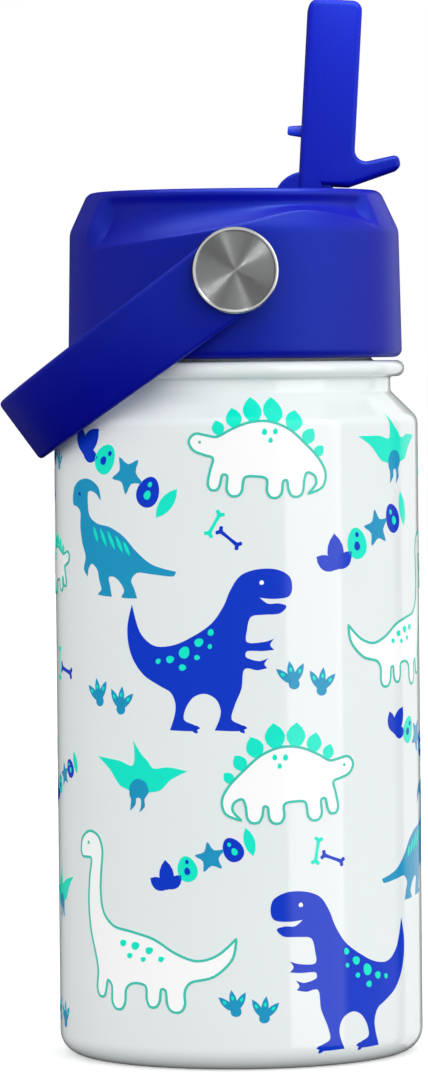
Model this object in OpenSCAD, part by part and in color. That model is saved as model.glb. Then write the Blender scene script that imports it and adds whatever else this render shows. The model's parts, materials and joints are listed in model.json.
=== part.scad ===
// Kids' insulated straw bottle.
// A double-wall steel body carries a screw lid with a flip-up drinking spout
// and a swinging carry strap. Millimetres, +Z up, origin on the bottle's axis
// at the face that it stands on. The strap lies towards -X and the raised
// spout stands on the +X side of the lid.

/* [Steel body] */
// Outside diameter of the body
body_d = 73; // [60:1:88]
// Height of the straight wall, up to where the shoulder begins
wall_h = 125.4; // [100:0.2:190]
// Radius of the edge round the base
base_round = 4.5; // [3:0.5:7]
// Radius of the bend from the wall into the shoulder
shoulder_round = 5; // [3:0.5:8]
// Angle that the shoulder turns in from upright
shoulder_turn = 47; // [35:1:60]
// Thickness of the steel in both vessels
steel_t = 0.6; // [0.5:0.1:1.2]
// Evacuated gap between the two vessels
vacuum_gap = 2.5; // [1.5:0.1:4]
// Height of the evacuated space under the inner vessel
floor_gap = 3.2; // [2.6:0.1:6]
// Radius of the inner vessel's floor edge
vessel_round = 7; // [4:0.5:12]
// Width of the flat ring that the bottle stands on
foot_w = 2.5; // [1.5:0.5:5]
// Thickness of the disc that hides the vacuum seal
cover_t = 0.4; // [0.3:0.1:0.6]
// Radius of the pumping hole in the base plate
port_r = 1.5; // [1:0.1:2.5]
// Height and radius of the getter pill
getter_size = [1.2, 6]; // [0.6:0.1:12]

/* [Neck] */
// How much further in the mouth is than the body, on each side
mouth_inset = 10.7; // [10:0.1:16]
// Height of the steel neck above the bead
neck_h = 8.9; // [8.5:0.1:14]
// Height of the groove under the bead
groove_h = 2.9; // [2:0.1:5]
// Depth of the groove behind the bead
groove_depth = 2.2; // [1.7:0.1:3]
// Radius of the rolled bead
bead_round = 1.6; // [1.2:0.1:2]
// How far the bead stands out past the lid
bead_proud = 0.4; // [0:0.1:1.5]

/* [Thread] */
// Rise of the thread in one turn
lead = 4; // [3.6:0.1:5]
// Height of the thread flight
flight_h = 1.4; // [1:0.1:1.8]
// Clearance beyond the crest of each thread
crest_clear = 0.6; // [0.4:0.1:1]
// Width of a flight at its root
flight_w = 2; // [1.6:0.1:2.2]
// Turn that each flight covers, in degrees
flight_turn = 396; // [300:12:420]

/* [Lid] */
// Height of the lid
lid_h = 33.3; // [31:0.1:42]
// Gap between the bead and the lid's lower edge
lid_gap = 0.6; // [0.3:0.1:1.5]
// Thickness of the lid's side wall
lid_wall = 2.5; // [1.8:0.1:3]
// Thickness of the lid's top and of the spout tray
top_wall = 1.8; // [1.4:0.1:2.4]
// How much the side wall leans in up to the bevel
lid_draft = 0.5; // [0:0.1:1]
// Height of the bevel under the lid's top
bevel_h = 8; // [6:0.1:10]
// How far the bevel comes in
bevel_in = 3.7; // [2.5:0.1:4.5]
// Height of the rim left standing above each scoop
scoop_rim = 2.3; // [1.5:0.1:3]
// Half of the width of each scoop
scoop_w = 29; // [22:0.5:30]
// Radius of the hollow curve of each scoop
scoop_round = 14; // [12:0.5:18]
// Wall of the threaded liner
liner_wall = 1.7; // [1.2:0.1:2.5]
// Thickness of the liner's disc
liner_disc = 1.5; // [1:0.1:2.5]
// Thickness and width of the lid's seal ring
seal_size = [1.4, 5.7]; // [1:0.1:8]

/* [Spout] */
// Length of the spout from its hinge to its tip
spout_len = 40.7; // [34:0.1:44]
// Thickness of the spout, inner face to outer face
spout_t = 10.7; // [9:0.1:12]
// Width of the spout along its hinge
spout_w = 15; // [12:0.5:18]
// Rounding of the spout's long edges
spout_round = 1.8; // [0.8:0.1:3]
// Diameter of the drinking channel
channel_d = 5; // [4:0.1:5.4]
// Distance from the hinge to the spout's inner face
inner_face = 1.4; // [0.8:0.1:2]
// Distance from the hinge to the middle of the channel
channel_off = 3.2; // [2.8:0.1:3.5]
// Diameter of the hinge drum
drum_d = 12.8; // [12.8:0.1:15]
// How far the hinge lies from the bottle's axis
hinge_x = 14.2; // [11:0.1:16]
// Depth of the hinge under the lid's top
hinge_drop = 2.6; // [2:0.1:4]
// Lean of the raised spout
spout_lean = 3.5; // [0:0.5:8]
// Diameter of the two hinge pins
pin_d = 3; // [2:0.1:3.4]
// Length and thickness of the thumb tab
tab_size = [9.6, 2.8]; // [2:0.1:12]
// Upward slope of the raised thumb tab
tab_slope = 17; // [0:1:30]
// Distance of the vent plug from the hinge
plug_at = 14.5; // [12:0.1:16]
// Length of the vent plug
plug_len = 2.8; // [2:0.1:3.2]
// Clearance round the moving spout
spout_clear = 0.4; // [0.3:0.05:0.8]

/* [Straw] */
// Outside diameter of the straw and of the lid's nipple
straw_d = 6.4; // [5.8:0.1:7]
// Wall of the straw
straw_wall = 0.7; // [0.5:0.1:1]
// Wall of the soft sleeve that joins the straw to the lid
sleeve_wall = 1.5; // [1:0.1:2]
// Length of the sleeve
sleeve_len = 12; // [8:1:16]
// Gap between the straw's tip and the floor
straw_floor_gap = 4; // [2:0.5:10]

/* [Carry strap] */
// Finger room between the lid and the strap's bend
finger_room = 17.1; // [14:0.1:26]
// Thickness of the strap
strap_t = 3; // [2:0.1:4]
// Width of the strap at its eyes and at its bend
strap_w = [16, 14]; // [10:0.5:20]
// Depth of the strap's pivot under the lid's top
pivot_drop = 16.2; // [14:0.1:17]
// Gap left between the resting strap and the body
strap_rest_gap = 0.3; // [0.2:0.1:1]
// Diameter of the rivet caps
cap_d = 16.9; // [14:0.1:19]
// Thickness of the rivet caps
cap_t = 2; // [1.4:0.1:3]
// Width of the raised bright rim round a cap
cap_rim = 0.75; // [0.5:0.05:1.2]
// Diameter of the rivet shanks
shank_d = 6; // [4:0.2:7]
// Height of the lid's bosses and thickness of the washers
boss_washer = [0.1, 0.6]; // [0.1:0.1:1]

/* [Fits] */
// Radial clearance of a pin in its bore
run_fit = 0.05; // [0.02:0.01:0.1]
// Clearance between flat faces that slide past each other
face_clear = 0.1; // [0.05:0.05:0.3]

/* [Hidden] */
$fn = 96;
over = 1;                       // overshoot of a cut past the face it opens
arc_steps = 8;

// Radii, from the mouth outwards
body_r = body_d / 2;
mouth_r = body_r - mouth_inset;
neck_gap = 0.2;
neck_r = mouth_r + 2 * steel_t + neck_gap;
flight_r = neck_r + flight_h;
liner_bore_r = flight_r + crest_clear;
liner_r = liner_bore_r + liner_wall;
lid_r = liner_r + lid_wall;
lid_bevel_r = lid_r - lid_draft;
lid_top_r = lid_bevel_r - bevel_in;
bead_r = lid_r + bead_proud;
groove_r = bead_r - groove_depth;
vessel_r = body_r - steel_t - vacuum_gap;

// Heights, from the floor upwards
plate_z = steel_t;
vessel_z = plate_z + steel_t + floor_gap;
groove_z = wall_h + shoulder_round * sin(shoulder_turn)
    + (body_r - shoulder_round * (1 - cos(shoulder_turn)) - groove_r) / tan(shoulder_turn);
bead_z = groove_z + groove_h + bead_round;
bead_top = bead_z + bead_round;
rim_z = bead_top + neck_h;
lid_z = bead_top + lid_gap;
lid_top = lid_z + lid_h;
bevel_z = lid_top - bevel_h;
disc_z = rim_z + seal_size[0] + 2 * face_clear;

// Spout and what it works in
hinge_z = lid_top - hinge_drop;
drum_r = drum_d / 2;
tray_z = hinge_z - inner_face - spout_clear - 0.2;
tray_y = spout_w / 2 + spout_clear;
tray_tip = spout_len + 2 * spout_clear + 0.3;
tray_wall = 1.6;
cradle_r = drum_r + spout_clear;
pin_in = channel_d / 2 + 1.5;
pin_out = tray_y + 3;
straw_r = straw_d / 2;
straw_bore_r = 2.3;
straw_x = hinge_x + channel_off * cos(spout_lean) - drum_r * sin(spout_lean);
gasket_r = straw_bore_r + 1.1;
gasket_z = hinge_z - drum_r - 2.4;
gasket_h = 4.6;                 // as a plain ring, before the drum's seat is cut
block_z = gasket_z - 1.5;
nipple_z = disc_z - 5;
vent_x = hinge_x - plug_at;
vent_r = 2.6;
plug_r = [1.2, 0.85];           // at the spout and at the tip
vent_flange = [1.2, 1];         // thickness and overhang under the tray

// Carry strap
pivot_z = lid_top - pivot_drop;
boss_r = 6.5;
boss_y = lid_r + boss_washer[0];
strap_y = boss_y + boss_washer[1] + face_clear;
cap_y = strap_y + strap_t + face_clear;
shank_r = shank_d / 2;
shank_in = liner_r - 4.9;
clip_size = [1.3, 5.5];         // thickness and radius
strap_reach = lid_r + finger_room;
strap_drop = acos((body_r + strap_rest_gap) / norm([strap_reach, strap_w[1] / 2]))
    - atan(strap_w[1] / 2 / strap_reach);

// Lower edge of a scoop: position as a share of the scoop's half width,
// depth under the lid's top. The curve climbs like a wave towards +X.
wave = [[-1, -11.6], [-0.62, -10.2], [-0.25, -8.7], [0.09, -6.8], [0.28, -5.4],
    [0.46, -4.5], [0.62, -4.7], [0.76, -5.4], [0.9, -6.6], [1, -7.9]];

white = [0.92, 0.94, 0.95];
steel = [0.75, 0.76, 0.78];
blue = [0.07, 0.14, 0.62];
silicone = [0.12, 0.25, 0.85];
clear_white = [0.93, 0.95, 0.97, 0.8];

function arc(r, z, radius, a0, a1) =
    [for (i = [0 : arc_steps]) let (a = a0 + (a1 - a0) * i / arc_steps)
        [r + radius * cos(a), z + radius * sin(a)]];

// Outline of the outer shell, set in by t from its outer face
function shell_outline(t, top) = concat(
    [[0, t]],
    arc(body_r - base_round, base_round, base_round - t, -90, 0),
    arc(body_r - shoulder_round, wall_h, shoulder_round - t, 0, shoulder_turn),
    [[groove_r - t, groove_z - t * tan(shoulder_turn / 2)]],
    [[groove_r - t, groove_z + groove_h + t]],
    arc(bead_r - bead_round, bead_z, bead_round - t, -90, 90),
    [[neck_r - t, bead_top - t], [neck_r - t, top], [0, top]]);

// Outline of the inner vessel, set in by t from its outer face
function vessel_outline(t, top) = let (
        neck = mouth_r + steel_t,
        bend = shoulder_round,
        wall = wall_h - (vessel_r - bend * (1 - cos(shoulder_turn)) - neck) / tan(shoulder_turn)
            + (body_r - shoulder_round * (1 - cos(shoulder_turn)) - neck) / tan(shoulder_turn)
            - (steel_t + vacuum_gap) / sin(shoulder_turn)
    ) concat(
    [[0, vessel_z + t]],
    arc(vessel_r - vessel_round, vessel_z + vessel_round, vessel_round - t, -90, 0),
    arc(vessel_r - bend, wall, bend - t, 0, shoulder_turn),
    [[neck - t, wall + (bend - t) * sin(shoulder_turn)
        + (vessel_r - bend + (bend - t) * cos(shoulder_turn) - neck + t) / tan(shoulder_turn)]],
    [[neck - t, top], [0, top]]);

module revolve(outline) {
    rotate_extrude() polygon(outline);
}

module ring(r_in, r_out, z0, z1) {
    translate([0, 0, z0]) difference() {
        cylinder(r = r_out, h = z1 - z0);
        translate([0, 0, -over]) cylinder(r = r_in, h = z1 - z0 + 2 * over);
    }
}

// A bar along Y, from y0 to y1
module bar_y(r, y0, y1) {
    translate([0, y0, 0]) rotate([-90, 0, 0]) cylinder(r = r, h = y1 - y0);
}

// A right-hand thread flight that fades in and out over its first and last steps
module flight(root_r, crest_r, z0, start, turn) {
    steps = ceil(turn / 9);
    fade = 3;
    sides = 4;
    base = flight_w / 2;
    crest = flight_w / 4;
    rings = [for (i = [0 : steps]) let (
            a = start + turn * i / steps,
            z = z0 + lead * a / 360,
            full = min(1, (i + 0.6) / fade, (steps - i + 0.6) / fade),
            tip = root_r + (crest_r - root_r) * full)
        each [for (p = [[root_r, -base], [tip, -crest], [tip, crest], [root_r, base]])
            [p[0] * cos(a), p[0] * sin(a), z + p[1]]]];
    quads = [for (i = [0 : steps - 1], k = [0 : sides - 1]) let (
            a = i * sides + k, b = i * sides + (k + 1) % sides)
        each [[a, a + sides, b + sides], [a, b + sides, b]]];
    last = steps * sides;
    ends = [[0, 1, 2], [0, 2, 3], [last, last + 2, last + 1], [last, last + 3, last + 2]];
    faces = concat(quads, ends);
    polyhedron(rings, crest_r < root_r ? faces : [for (f = faces) [f[0], f[2], f[1]]]);
}

// The lid's flight lies half a lead below the neck's, so the two never touch
// while the lid turns and rises.
male_z = bead_top + 2.9;
module male_flight() {
    flight(neck_r - steel_t / 3, flight_r, male_z, 0, flight_turn);
}
module female_flight() {
    flight(liner_bore_r + 0.4, neck_r + crest_clear, male_z - lead / 2, 150, flight_turn);
}

// ---- steel body ----

module outer_shell() {
    color(white) union() {
        difference() {
            revolve(shell_outline(0, rim_z - steel_t));
            revolve(shell_outline(steel_t, rim_z + over));
            translate([0, 0, -over])
                cylinder(r = body_r - base_round - foot_w, h = steel_t + 2 * over);
        }
        male_flight();
    }
}

module inner_vessel() {
    color(steel) difference() {
        union() {
            revolve(vessel_outline(0, rim_z));
            ring(mouth_r, neck_r, rim_z - steel_t, rim_z);
        }
        revolve(vessel_outline(steel_t, rim_z + over));
    }
}

module base_plate() {
    color(steel) ring(port_r, body_r - base_round - 0.2, plate_z, plate_z + steel_t);
}

module base_cover() {
    color(steel) translate([0, 0, plate_z - cover_t])
        cylinder(r = body_r - base_round - foot_w - face_clear, h = cover_t);
}

module vacuum_seal() {
    color("dimgray") union() {
        translate([0, 0, plate_z]) cylinder(r = port_r, h = steel_t);
        translate([0, 0, plate_z + steel_t]) cylinder(r1 = 2 * port_r, r2 = port_r, h = 0.8);
    }
}

module getter() {
    color("gray") translate([mouth_r / 2, 0, vessel_z - getter_size[0]])
        cylinder(r = getter_size[1], h = getter_size[0]);
}

// ---- lid ----

module lid_seal() {
    color(silicone) ring(liner_bore_r - 0.3 - seal_size[1], liner_bore_r - 0.3,
        rim_z + face_clear, rim_z + face_clear + seal_size[0]);
}

module lid_outside() {
    edge = 1.2;
    slope = atan(bevel_in / bevel_h);
    revolve(concat(
        [[0, lid_z]],
        arc(lid_r - edge, lid_z + edge, edge, -90, 0),
        [[lid_bevel_r, bevel_z]],
        [[lid_top_r + edge * tan(slope), lid_top - edge]],
        [[lid_top_r - edge / 2, lid_top], [0, lid_top]]));
}

module lid_inside() {
    scoop_back = lid_top_r - lid_wall - 0.2;
    revolve([[0, lid_z - over], [liner_r, lid_z - over], [liner_r, bevel_z - 4.4],
        [scoop_back, bevel_z + 3], [scoop_back, lid_top - top_wall], [0, lid_top - top_wall]]);
}

// The hollow that is scooped out of the bevel at the front; the back has its mirror image
module scoop() {
    rim = lid_top - scoop_rim;
    intersection() {
        rotate_extrude() translate([lid_top_r + 0.2 + scoop_round, rim])
            intersection() {
                circle(r = scoop_round);
                translate([-scoop_round, -scoop_round]) square([scoop_round, scoop_round]);
            }
        translate([0, -neck_r / 3, 0]) rotate([90, 0, 0]) linear_extrude(height = lid_r)
            polygon(concat([for (p = wave) [p[0] * scoop_w, lid_top + p[1]]],
                [[scoop_w, rim + over], [-scoop_w, rim + over]]));
    }
}

// Room that the folded spout needs inside the lid
module tray_room() {
    corner = spout_round + spout_clear;
    depth = lid_top - tray_z + over;
    translate([hinge_x - tray_tip + corner, -tray_y + corner, tray_z]) {
        translate([0, -corner, 0]) cube([tray_tip - corner, 2 * tray_y, depth]);
        translate([-corner, 0, 0]) cube([tray_tip, 2 * (tray_y - corner), depth]);
        cylinder(r = corner, h = depth);
        translate([0, 2 * (tray_y - corner), 0]) cylinder(r = corner, h = depth);
    }
    translate([hinge_x, 0, hinge_z]) bar_y(cradle_r, -tray_y, tray_y);
    translate([hinge_x - cradle_r, -tray_y, hinge_z])
        cube([2 * cradle_r, 2 * tray_y, hinge_drop + over]);
}

module tray_walls() {
    floor_z = tray_z - top_wall;
    translate([hinge_x - tray_tip - tray_wall, -tray_y - tray_wall, floor_z])
        cube([tray_tip + tray_wall, 2 * (tray_y + tray_wall), lid_top - over - floor_z]);
    translate([hinge_x - cradle_r - tray_wall, -pin_out, block_z])
        cube([2 * (cradle_r + tray_wall), 2 * pin_out, lid_top - over - block_z]);
}

module each_side() {
    children();
    mirror([0, 1, 0]) children();
}

module lid_shell() {
    color(blue) difference() {
        union() {
            difference() {
                lid_outside();
                lid_inside();
            }
            intersection() {
                lid_outside();
                tray_walls();
            }
            translate([straw_x, 0, nipple_z])
                cylinder(r = straw_r, h = block_z - nipple_z + over);
            each_side() translate([0, 0, pivot_z]) {
                bar_y(boss_r, liner_r, boss_y);
                bar_y(clip_size[1], shank_in + clip_size[0], liner_r + over);
            }
        }
        tray_room();
        each_side() scoop();
        translate([straw_x, 0, gasket_z]) cylinder(r = gasket_r, h = hinge_z - gasket_z);
        translate([straw_x, 0, nipple_z - over])
            cylinder(r = straw_bore_r, h = gasket_z - nipple_z + 2 * over);
        translate([vent_x, 0, tray_z - top_wall - over])
            cylinder(r = vent_r, h = top_wall + 2 * over);
        translate([hinge_x, 0, hinge_z]) each_side() bar_y(pin_d / 2, tray_y - over, pin_out);
        each_side() translate([0, 0, pivot_z]) bar_y(shank_r, shank_in, boss_y + over);
    }
}

module lid_liner() {
    skirt_z = lid_z + 1;
    color(blue) difference() {
        union() {
            ring(liner_bore_r, liner_r, skirt_z, disc_z + liner_disc / 2);
            translate([0, 0, disc_z]) cylinder(r = liner_r, h = liner_disc);
            female_flight();
        }
        translate([straw_x, 0, disc_z - over])
            cylinder(r = straw_r + face_clear, h = liner_disc + 2 * over);
        translate([vent_x - 6, 0, disc_z - over]) cylinder(r = 1.5, h = liner_disc + 2 * over);
    }
}

module spout_gasket() {
    color(silicone) difference() {
        translate([straw_x, 0, gasket_z]) cylinder(r = gasket_r, h = gasket_h);
        translate([straw_x, 0, gasket_z - over])
            cylinder(r = straw_bore_r, h = gasket_h + 2 * over);
        translate([hinge_x, 0, hinge_z]) bar_y(drum_r + run_fit, -spout_w, spout_w);
    }
}

module vent_valve() {
    socket_r = plug_r[0] + face_clear + 0.05;
    socket_z = hinge_z - inner_face - plug_len - 2 * face_clear;
    color(silicone) translate([vent_x, 0, 0]) difference() {
        union() {
            translate([0, 0, tray_z - top_wall]) cylinder(r = vent_r, h = top_wall);
            translate([0, 0, tray_z - top_wall - vent_flange[0]])
                cylinder(r = vent_r + vent_flange[1], h = vent_flange[0]);
        }
        translate([0, 0, socket_z]) cylinder(r = socket_r, h = tray_z - socket_z + over);
        translate([0, 0, tray_z - top_wall - vent_flange[0] - over]) cylinder(r = 0.4, h = 6);
    }
}

module spout_pins() {
    color(steel) translate([hinge_x, 0, hinge_z]) each_side() bar_y(pin_d / 2, pin_in, pin_out);
}

// ---- straw ----

module straw_sleeve() {
    sleeve_top = disc_z - 0.3;
    color(silicone) translate([straw_x, 0, 0])
        ring(straw_r, straw_r + sleeve_wall, sleeve_top - sleeve_len, sleeve_top);
}

module straw() {
    color(clear_white) translate([straw_x, 0, 0])
        ring(straw_r - straw_wall, straw_r, vessel_z + steel_t + straw_floor_gap, nipple_z - 0.2);
}

// ---- rivets ----

module rivet() {
    dish = 0.3;                 // depth of the disc inside the rim
    color(steel) translate([0, 0, pivot_z]) union() {
        bar_y(shank_r, shank_in, cap_y + over / 2);
        rotate([-90, 0, 0]) difference() {
            union() {
                translate([0, 0, cap_y]) cylinder(r = cap_d / 2, h = cap_t - dish);
                translate([0, 0, cap_y + cap_t - dish])
                    cylinder(r1 = cap_d / 2, r2 = cap_d / 2 - dish, h = dish);
            }
            translate([0, 0, cap_y + cap_t - dish]) cylinder(r = cap_d / 2 - cap_rim, h = over);
        }
    }
}

module rivet_front() {
    mirror([0, 1, 0]) rivet();
}

module rivet_back() {
    rivet();
}

module rivet_clips() {
    color(steel) each_side() translate([0, 0, pivot_z]) difference() {
        bar_y(clip_size[1], shank_in, shank_in + clip_size[0]);
        bar_y(shank_r, shank_in - over, shank_in + clip_size[0] + over);
    }
}

module strap_washers() {
    color("whitesmoke") each_side() translate([0, 0, pivot_z]) difference() {
        bar_y(boss_r, boss_y, boss_y + boss_washer[1]);
        bar_y(shank_r, boss_y - over, boss_y + boss_washer[1] + over);
    }
}

// ---- spout ----

// Drawn upright with its hinge at the origin: X is out from the inner face, Z along the spout
module spout_body() {
    half = spout_w / 2;
    outer_face = spout_t - inner_face;
    heel_z = 3.9;
    intersection() {
        translate([-inner_face, 0, 0]) hull()
            for (x = [spout_round, spout_t - spout_round], y = [-1, 1]) {
                translate([x, y * (half - spout_round), 0])
                    cylinder(r = spout_round, h = spout_len - spout_round, $fn = 32);
                translate([x, y * (half - spout_round), spout_len - spout_round])
                    sphere(r = spout_round, $fn = 24);
            }
        rotate([90, 0, 0]) linear_extrude(height = spout_w + 2, center = true)
            polygon([[-inner_face - 1, 0], [drum_r / 2, 0], [drum_r / 2, heel_z],
                [outer_face + 1, heel_z], [outer_face + 1, spout_len + 1],
                [-inner_face - 1, spout_len + 1]]);
    }
    bar_y(drum_r, -half, half);
    tab(half - 0.5, outer_face, heel_z);
}

module tab(half, outer_face, root_z) {
    rise = tab_slope + spout_lean;
    tip = [outer_face + tab_size[0], root_z + tab_size[1] / cos(rise) / 2 + tab_size[0] * tan(rise)];
    fillet = 2.2;
    top_z = root_z + tab_size[1];
    rotate([90, 0, 0]) linear_extrude(height = 2 * half, center = true)
        polygon([[outer_face - 2, root_z], [outer_face, root_z],
            [tip[0], tip[1] - tab_size[1] / 2], [tip[0] - 0.6, tip[1] + tab_size[1] / 2],
            [outer_face + fillet, top_z + fillet * 0.8], [outer_face, top_z + fillet * 1.9],
            [outer_face - 2, top_z + fillet * 2]]);
}

module spout() {
    color(blue) translate([hinge_x, 0, hinge_z]) rotate([0, spout_lean, 0]) difference() {
        spout_body();
        translate([channel_off, 0, -drum_r - over])
            cylinder(d = channel_d, h = spout_len + drum_r + 2 * over);
        each_side() bar_y(pin_d / 2 + run_fit, pin_in - face_clear, spout_w);
        translate([-inner_face, 0, plug_at]) rotate([0, 90, 0])
            cylinder(r = plug_r[0], h = 1);
    }
}

module vent_plug() {
    color(silicone) translate([hinge_x, 0, hinge_z]) rotate([0, spout_lean, 0])
        translate([-inner_face, 0, plug_at]) rotate([0, -90, 0]) union() {
            translate([0, 0, -1]) cylinder(r = plug_r[0], h = 1);
            cylinder(r1 = plug_r[0], r2 = plug_r[1], h = plug_len);
        }
}

// ---- carry strap ----

// Drawn level, pointing to -X, with its pivot at the origin
module strap_band(half) {
    bend_x = -(strap_reach - strap_y);
    translate([bend_x, 0, 0]) union() {
        cylinder(r = half, h = 2 * strap_w[0], center = true);
        translate([0, -half, -strap_w[0]])
            cube([strap_w[0] / 2 + over - bend_x, 2 * half, 2 * strap_w[0]]);
    }
}

module carry_strap() {
    end_x = strap_reach + strap_t + over;
    color(blue) translate([0, 0, pivot_z]) rotate([0, -strap_drop, 0]) difference() {
        intersection() {
            difference() {
                strap_band(strap_y + strap_t);
                strap_band(strap_y);
            }
            rotate([90, 0, 0]) linear_extrude(height = 3 * strap_y, center = true) union() {
                circle(r = strap_w[0] / 2);
                polygon([[0, -strap_w[0] / 2], [0, strap_w[0] / 2],
                    [-end_x, strap_w[1] / 2], [-end_x, -strap_w[1] / 2]]);
            }
        }
        bar_y(shank_r + run_fit, -2 * strap_y, 2 * strap_y);
    }
}

outer_shell();
inner_vessel();
base_plate();
base_cover();
vacuum_seal();
getter();
lid_seal();
lid_shell();
lid_liner();
spout_gasket();
vent_valve();
spout_pins();
straw_sleeve();
straw();
rivet_front();
rivet_back();
rivet_clips();
strap_washers();
spout();
vent_plug();
carry_strap();
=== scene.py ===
# Looks for a kids' insulated straw bottle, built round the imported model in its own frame.
import json
import math

import bmesh
import bpy
from mathutils import Matrix, Quaternion, Vector


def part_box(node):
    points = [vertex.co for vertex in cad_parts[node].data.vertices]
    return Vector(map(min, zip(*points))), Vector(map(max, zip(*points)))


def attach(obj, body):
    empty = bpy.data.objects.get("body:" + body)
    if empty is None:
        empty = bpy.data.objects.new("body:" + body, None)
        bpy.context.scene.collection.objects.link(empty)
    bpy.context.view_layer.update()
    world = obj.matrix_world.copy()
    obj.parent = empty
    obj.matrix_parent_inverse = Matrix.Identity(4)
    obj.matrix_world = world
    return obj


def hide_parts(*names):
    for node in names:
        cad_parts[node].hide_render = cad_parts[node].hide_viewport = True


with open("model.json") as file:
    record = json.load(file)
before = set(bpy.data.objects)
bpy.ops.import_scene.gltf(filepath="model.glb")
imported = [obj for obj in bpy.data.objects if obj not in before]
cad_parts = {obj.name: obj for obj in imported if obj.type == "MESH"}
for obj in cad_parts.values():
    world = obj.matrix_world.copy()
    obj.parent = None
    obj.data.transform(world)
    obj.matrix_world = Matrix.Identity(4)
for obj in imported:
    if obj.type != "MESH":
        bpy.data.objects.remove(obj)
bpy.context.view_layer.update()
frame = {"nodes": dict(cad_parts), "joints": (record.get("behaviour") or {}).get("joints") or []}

# ---- Camera ----
# A long lens a little above the middle of the bottle keeps its sides almost parallel.
# A slight roll of the camera leans the bottle a little to the left.
MM = 0.001
EYE = Vector((-4.6, -1150, 140)) * MM
AIM = Vector((-4.6, 0, 102.5)) * MM
ROLL = math.radians(-0.55)

camera_data = bpy.data.cameras.new("camera")
camera_data.sensor_fit = "VERTICAL"
camera_data.sensor_height = 36
camera_data.lens = 191.3
camera = bpy.data.objects.new("camera", camera_data)
camera.location = EYE
camera.rotation_euler = ((AIM - EYE).to_track_quat("-Z", "Y")
                         @ Quaternion((0, 0, 1), ROLL)).to_euler()
scene = bpy.context.scene
scene.collection.objects.link(camera)
scene.camera = camera
scene.view_settings.view_transform = "Standard"


# ---- Studio ----
# A white floor and backdrop for the camera alone, even soft light from all round, and
# softboxes that show mostly as reflections in the gloss paint, the plastic and the rivets.
def colour(code):
    """An sRGB hex colour as the linear values that a shader takes."""
    parts = [int(code[i:i + 2], 16) / 255 for i in (0, 2, 4)]
    return [*(c / 12.92 if c <= 0.04045 else ((c + 0.055) / 1.055) ** 2.4 for c in parts), 1]


def add_node(tree, kind, inputs=None, **settings):
    """Adds one node; inputs gives a value or another node's output for each socket."""
    made = tree.nodes.new(kind)
    for name, value in settings.items():
        setattr(made, name, value)
    for name, value in (inputs or {}).items():
        if isinstance(value, bpy.types.NodeSocket):
            tree.links.new(value, made.inputs[name])
        else:
            made.inputs[name].default_value = value
    return made


def new_material(name):
    """An empty material and its node tree."""
    material = bpy.data.materials.new(name)
    material.use_nodes = True
    material.node_tree.nodes.clear()
    return material, material.node_tree


def surface(tree, shader):
    """Makes the shader what the material shows."""
    add_node(tree, "ShaderNodeOutputMaterial", {"Surface": shader.outputs[0]})


def show(piece, material=None):
    """Puts a new object into the scene with its material."""
    scene.collection.objects.link(piece)
    if material:
        piece.data.materials.append(material)
    return piece


def new_piece(name, points, faces, material=None, smooth_angle=35):
    """A mesh object from points in millimetres, smooth except where faces meet sharply."""
    mesh = bpy.data.meshes.new(name)
    mesh.from_pydata([Vector(p) * MM for p in points], [], faces)
    mesh.update()
    mesh.shade_smooth()
    mesh.set_sharp_from_angle(angle=math.radians(smooth_angle))
    return show(bpy.data.objects.new(name, mesh), material)


# light from all round: strongest level with the bottle, weaker from straight above and from
# the left, and none from below
world = bpy.data.worlds.new("studio")
world.use_nodes = True
tree = world.node_tree
place = add_node(tree, "ShaderNodeTexCoord")
axes = add_node(tree, "ShaderNodeSeparateXYZ", {"Vector": place.outputs["Generated"]})
upward = add_node(tree, "ShaderNodeMapRange", {"Value": axes.outputs["Z"], "From Min": -0.5,
                                               "From Max": 0.1, "To Min": 0.0, "To Max": 2.2})
zenith = add_node(tree, "ShaderNodeMapRange", {"Value": axes.outputs["Z"], "From Min": 0.15,
                                               "From Max": 0.8, "To Min": 1.0, "To Max": 0.25})
rightward = add_node(tree, "ShaderNodeMapRange", {"Value": axes.outputs["X"], "From Min": -1.0,
                                                  "From Max": 0.2, "To Min": 0.84, "To Max": 1.06})
height = add_node(tree, "ShaderNodeMath", {0: upward.outputs["Result"],
                                           1: zenith.outputs["Result"]}, operation="MULTIPLY")
level = add_node(tree, "ShaderNodeMath", {0: height.outputs["Value"],
                                          1: rightward.outputs["Result"]}, operation="MULTIPLY")
tree.links.new(level.outputs["Value"], tree.nodes["Background"].inputs["Strength"])
tree.nodes["Background"].inputs["Color"].default_value = colour("ffffff")
scene.world = world
world.cycles_visibility.glossy = False

paper, tree = new_material("white_seamless_paper")
grain = add_node(tree, "ShaderNodeTexNoise", {"Scale": 900.0, "Detail": 2.0})
shades = add_node(tree, "ShaderNodeMix", {"Factor": grain.outputs["Fac"], "A": colour("f4f4f4"),
                                          "B": colour("fbfbfb")}, data_type="RGBA")
surface(tree, add_node(tree, "ShaderNodeBsdfPrincipled", {
    "Base Color": shades.outputs["Result"], "Roughness": 0.9, "Specular IOR Level": 0.0,
    "Emission Color": colour("ffffff"), "Emission Strength": 0.3}))
FLOOR_R, STAGE_SIDES = 2500, 72
stage_angles = [math.radians(360 / STAGE_SIDES * i) for i in range(STAGE_SIDES)]
floor = new_piece("floor", [(FLOOR_R * math.cos(a), FLOOR_R * math.sin(a), 0) for a in stage_angles],
                  [list(range(STAGE_SIDES))], paper)

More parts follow.
